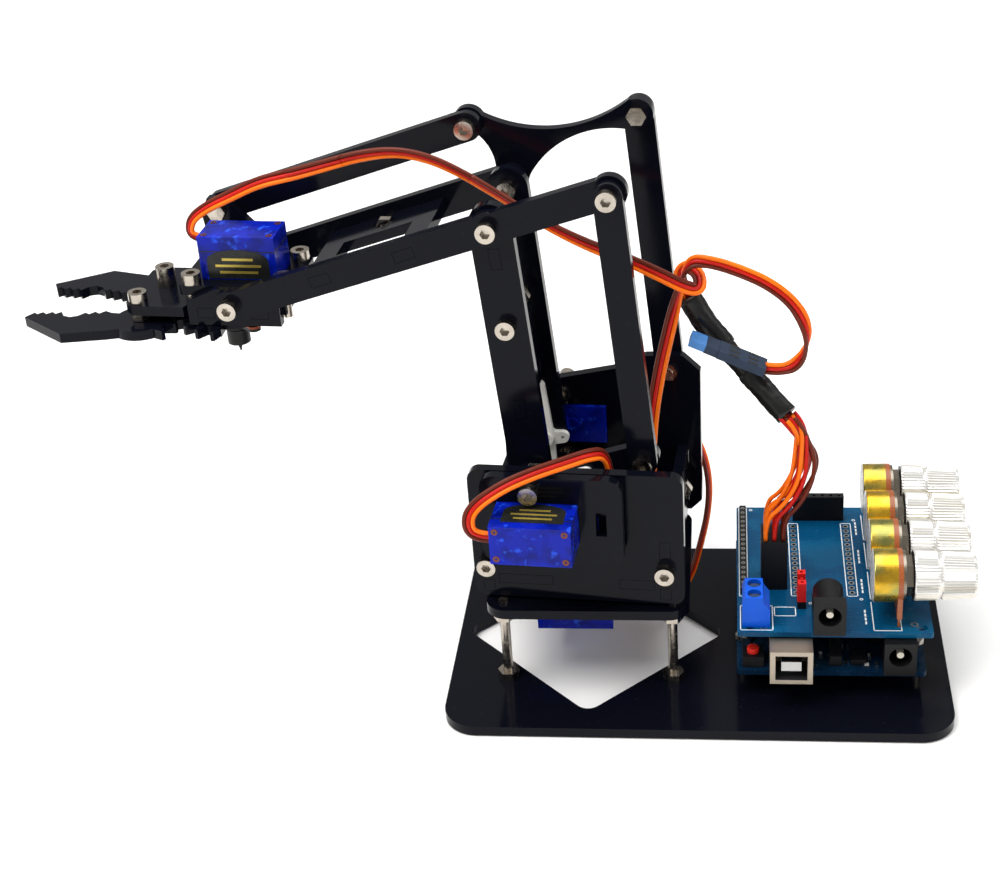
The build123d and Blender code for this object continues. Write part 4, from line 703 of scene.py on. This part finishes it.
def sleeve(looks):
    """Three pieces of shrink tube that overlap like a telescope, each a little wrinkled."""
    points = smooth_line(SLEEVE_ROUTE)
    frames = carried_frames(points, NEARWARD)
    steps = len(points) - 1
    built = bmesh.new()
    for first, last, wide in SLEEVE_PIECES:
        rings = []
        for index in range(round(first * steps), round(last * steps) + 1):
            at, (across, over) = points[index], frames[index]
            ring = []
            for i in range(SLEEVE_SIDES):
                angle = 2 * math.pi * i / SLEEVE_SIDES
                spoke = across * math.cos(angle) * SLEEVE_FLAT + over * math.sin(angle)
                ring.append(built.verts.new(at + spoke * wide * wrinkle(angle, index) * MM))
            rings.append(ring)
        for near, far in zip(rings, rings[1:]):
            for i in range(SLEEVE_SIDES):
                j = (i + 1) % SLEEVE_SIDES
                built.faces.new([near[i], near[j], far[j], far[i]]).smooth = True
        built.faces.new(rings[0][::-1])
        built.faces.new(rings[-1])
    made = to_object("lead_sleeve_shrink", built, looks["sleeve_black"])
    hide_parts("lead_sleeve")
    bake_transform(made)


FAN_TOP = SLEEVE_ROUTE[-1]
PIN_X, PIN_Y = 51.2, -7.6
PLUG_TOP = 41.3
PIN_SWING, ROW_SWING = (-0.9, 0.8, 3.2), (0.7, -1.3, 1.6, -0.3)


def fan_wires(looks):
    """Twelve single wires that spread from the sleeve to the four plugs."""
    colours = (looks["lead_orange"], looks["wire_red"], looks["wire_brown"])
    down = (SLEEVE_ROUTE[-1] - SLEEVE_ROUTE[-2]).normalized()
    for row in range(4):
        for pin in range(3):
            angle = 2 * math.pi * (row * 3 + pin) / 12
            spread = Vector((math.cos(angle), math.sin(angle), 0.25 * math.sin(angle)))
            reach = 2.3 if (row + pin) % 2 else 1.2
            top = FAN_TOP + spread * reach * MM
            swing = PIN_SWING[pin] + ROW_SWING[row]
            foot = row_point(PIN_X + PIN_PITCH * pin, PIN_Y + PIN_PITCH * row, PLUG_TOP)
            route = [top, top + down * 4.5 * MM,
                     row_point(61.3 + swing * 0.9, -6.4 + 1.7 * row + 0.6 * pin, 69.0 - 0.7 * row),
                     row_point(60.6 + swing, -7.6 + 2.4 * row - 0.5 * pin, 61.0 + 0.6 * pin),
                     row_point(56.4 + swing * 0.6 + pin, -7.8 + 2.5 * row, 53.2),
                     foot + UP * (7.0 + 0.5 * row) * MM, foot]
            points = smooth_line(route)
            built = bmesh.new()
            add_tube(built, points, carried_frames(points, Y_AXIS), WIRE / 2, sides=10)
            made = to_object("fan_wire_%d_%d" % (row + 1, pin + 1), built, colours[pin])
            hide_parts("board_leads")
            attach(made, "root")


# ---- servo details ------------------------------------------------------------------------------
def arched(width, high, steps=9):
    """A label outline: square corners below and an arch on top, around x 0 and up from y 0."""
    half = width / 2
    points = [(-half, 0), (half, 0)]
    for i in range(steps + 1):
        angle = math.pi * i / steps
        points.append((half * math.cos(angle), high * (0.62 + 0.38 * math.sin(angle))))
    return points


def servo_label(name, body, origin, x_axis, y_axis, looks, width=17.5, high=9.5):
    """Dark foil label with three plain gilt bars; its face looks along x cross y."""
    built = bmesh.new()
    outline = [(x * MM, y * MM) for x, y in arched(width, high)]
    add_prism(built, outline, origin, x_axis, y_axis, 0.07 * MM)
    normal = x_axis.cross(y_axis)
    for at, long in ((high * 0.22, 0.62), (high * 0.44, 0.74), (high * 0.66, 0.5)):
        centre = origin + y_axis * at * MM + normal * 0.09 * MM
        add_block(built, centre, x_axis, y_axis, (width * long * MM, high * 0.085 * MM, 0.06 * MM), 1)
    made = to_object(name, built, looks["label"], looks["gold"])
    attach(made, body)


SERVO_LONG, SERVO_WIDE, SERVO_SEAMS = 22.8, 12.2, (4.4, 18.0)


def servo_details(name, body, corner, long_axis, wide_axis, deep_axis, looks):
    """Lid seams and four corner screws; corner is the bottom lid's, and deep_axis leads to the horn."""
    built = bmesh.new()
    middle = corner + (long_axis * SERVO_LONG + wide_axis * SERVO_WIDE) * (MM / 2)
    sides = ((long_axis, SERVO_LONG, wide_axis, SERVO_WIDE), (wide_axis, SERVO_WIDE, long_axis, SERVO_LONG))
    for at in SERVO_SEAMS:
        for axis, size, other, between in sides:
            for face in (-0.5, 0.5):
                centre = middle + deep_axis * at * MM + other * between * face * MM
                add_block(built, centre, axis, deep_axis, (size * MM, 0.28 * MM, 0.16 * MM))
    for x in (1.7, SERVO_LONG - 1.7):
        for y in (1.7, SERVO_WIDE - 1.7):
            at = corner + (long_axis * x + wide_axis * y) * MM - deep_axis * 0.12 * MM
            add_ring(built, at, deep_axis, 0.35 * MM, 0.95 * MM, 0.2 * MM, 16, 1)
    made = to_object(name, built, looks["label"], looks["copper"])
    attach(made, body)


def servos(looks):
    servo_label("near_servo_label", "turntable", arm_point(9.6, 38.6, 66.31), -ALONG, -NEARWARD, looks)
    servo_label("far_servo_label", "turntable", arm_point(9.6, -47.0, 66.31), ALONG, NEARWARD, looks)
    servo_label("gripper_servo_label", "gripper", arm_point(98.4, -1.88, 118.8), -ALONG, UP, looks, 18.5, 9.0)
    servo_details("near_servo_seams", "turntable", arm_point(-1.6, 41.4, 54.1), ALONG, UP, -NEARWARD, looks)
    servo_details("far_servo_seams", "turntable", arm_point(-1.6, -49.9, 54.1), ALONG, UP, NEARWARD, looks)
    servo_details("gripper_servo_seams", "gripper", arm_point(87.0, -14.1, 131.5),
                  ALONG, NEARWARD, -UP, looks)
    servo_details("base_servo_seams", "root", row_point(-16.9, -6.1, 8.2), X_AXIS, Y_AXIS, UP, looks)


# ---- boards ---------------------------------------------------------------------------------------
SHIELD_TOP, BOARD_TOP = 24.8, 11.7
HEADER_X, STRIP_X, FIRST_PIN_Y = (60.2, 76.2), 44.9, -10.2
POT_Y, POT_PITCH = -21.3, 15.5
KNOB_BACK = 0.092


def add_line(built, start, end, z, width=0.28):
    """A printed line on a board, from start to end in millimetres."""
    low, high = row_point(*start, z + 0.02), row_point(*end, z + 0.02)
    run = (high - low).normalized()
    size = ((high - low).length + width * MM, width * MM, 0.06 * MM)
    add_block(built, (low + high) / 2, run, UP.cross(run), size)


def add_frame(built, low, high, z):
    corners = [low, (high[0], low[1]), high, (low[0], high[1])]
    for start, end in zip(corners, corners[1:] + corners[:1]):
        add_line(built, start, end, z)


def shield_print(looks):
    """White component outlines, without lettering."""
    built = bmesh.new()
    for x in HEADER_X:
        add_frame(built, (x - 1.5, -11.9), (x + 1.5, 27.1), SHIELD_TOP)
    add_frame(built, (43.7, -12.2), (46.1, 35.8), SHIELD_TOP)
    add_frame(built, (43.9, -28.9), (53.0, -17.0), SHIELD_TOP)
    add_frame(built, (53.6, -21.9), (59.6, -17.6), SHIELD_TOP)
    for row in range(4):
        y = POT_Y + POT_PITCH * row
        add_line(built, (81.2, y - 7.4), (88.9, y - 7.4), SHIELD_TOP)
        add_line(built, (81.2, y - 7.4), (81.2, y + 6.4), SHIELD_TOP)
        add_line(built, (88.9, y - 7.4), (88.9, y + 6.4), SHIELD_TOP)
        for dash in range(4):
            add_line(built, (79.2, y - 4.2 + 1.9 * dash), (79.2, y - 3.3 + 1.9 * dash), SHIELD_TOP, 0.5)
    for at in ((64.0, -15.6), (78.6, -13.4), (78.8, 29.0), (57.6, 28.6), (47.4, 34.8)):
        add_ring(built, row_point(*at, SHIELD_TOP), UP, 0.3 * MM, 0.55 * MM, 0.05 * MM)
    made = to_object("shield_print", built, looks["ink"])
    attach(made, "root")


def pin_pads(looks):
    """Plated rings round the empty pin rows, and the long socket's holes."""
    built = bmesh.new()
    for x in HEADER_X:
        for i in range(15):
            at = row_point(x, FIRST_PIN_Y + PIN_PITCH * i, SHIELD_TOP)
            add_ring(built, at, UP, 0.5 * MM, 0.92 * MM, 0.06 * MM, 18)
    for i in range(18):
        at = row_point(STRIP_X, FIRST_PIN_Y + PIN_PITCH * i, SHIELD_TOP + 1.9)
        add_ring(built, at, UP, 0.3 * MM, 0.62 * MM, 0.05 * MM, 14)
    for x, y in ((50.4, -27.6), (92.6, -25.6), (91.8, 33.4)):
        add_ring(built, row_point(x, y, SHIELD_TOP), UP, 0.6 * MM, 1.1 * MM, 0.06 * MM, 20)
    made = to_object("shield_pads", built, looks["tin"])
    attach(made, "root")


def small_parts(looks):
    """Chip parts on the controller, each with two silver ends."""
    built = bmesh.new()
    places = [(69.5, -25.8), (71.6, -25.8), (73.9, -26.2), (66.8, -22.6), (69.6, -22.4), (79.6, -27.4),
              (82.4, -27.4), (76.0, -22.8), (64.8, -27.6), (80.6, -23.2), (74.0, -18.6), (70.0, -18.8)]
    for index, (x, y) in enumerate(places):
        along = X_AXIS if index % 3 else Y_AXIS
        at = row_point(x, y, BOARD_TOP + 0.35)
        add_block(built, at, along, UP.cross(along), (1.2 * MM, 0.9 * MM, 0.6 * MM), index % 2)
        for end in (-0.75, 0.75):
            tip = at + along * end * MM
            add_block(built, tip, along, UP.cross(along), (0.35 * MM, 0.95 * MM, 0.64 * MM), 2)
    made = to_object("controller_chips", built, looks["label"], looks["pot_brass"], looks["silver"])
    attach(made, "root")


# outlines of (x, radius) in millimetres, from the knob's back
KNOB_SHELL = ((0.0, 2.5), (0.0, 6.9), (0.5, 7.15), (6.3, 6.95), (6.9, 6.5), (7.4, 6.45), (8.0, 6.8),
              (16.2, 6.35), (17.0, 5.7), (17.2, 4.9), (16.7, 4.6), (16.7, 2.0), (5.0, 2.0))
KNOB_RIBS = {2: 0.6, 3: 0.6, 6: 1.0, 7: 1.0}
KNOB_CORE = ((0.3, 2.9), (0.3, 6.0), (6.6, 5.8), (7.6, 5.9), (15.4, 5.6), (16.3, 5.0), (16.3, 0.05),
             (2.5, 0.05), (2.5, 2.9))
KNOB_SHAFT = ((-2.9, 0.05), (-2.9, 2.93), (2.4, 2.93), (2.4, 0.05))
KNOB_RIM = ((-0.25, 0.05), (-0.25, 6.85), (-0.02, 6.85), (-0.02, 0.05))


def knob_ripple(index, i):
    return 1.0 - 0.045 * (i % 2) * KNOB_RIBS.get(index, 0.0)


def in_metres(profile):
    return [(x * MM, r * MM) for x, r in profile]


def knobs(looks):
    """Ribbed skirt and cap over a silver core, with the pot's shaft and a dark rim behind."""
    for number in range(1, 5):
        node = "knob_%d" % number
        low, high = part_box(node)
        centre = Vector((KNOB_BACK, (low.y + high.y) / 2, (low.z + high.z) / 2))
        built = bmesh.new()
        revolve(built, in_metres(KNOB_SHELL), centre, X_AXIS, 96, knob_ripple)
        for profile, material in ((KNOB_CORE, 1), (KNOB_SHAFT, 1), (KNOB_RIM, 2)):
            revolve(built, in_metres(profile), centre, X_AXIS, 48, material=material)
        made = to_object(node + "_ribbed", built, looks["knob_clear"], looks["silver"], looks["header_black"])
        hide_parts(node)
        for polygon in made.data.polygons:
            polygon.use_smooth = polygon.material_index == 1
        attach(made, node)


# ---- making ------------------------------------------------------------------------------------------
make_camera()
make_studio()
LOOKS = make_materials()
gripper_lead(LOOKS)
near_lead(LOOKS)
base_lead(LOOKS)
sleeve(LOOKS)
fan_wires(LOOKS)
servos(LOOKS)
shield_print(LOOKS)
pin_pads(LOOKS)
small_parts(LOOKS)
knobs(LOOKS)

for node in NODES.values():
    for polygon in node.data.polygons:
        polygon.use_smooth = False
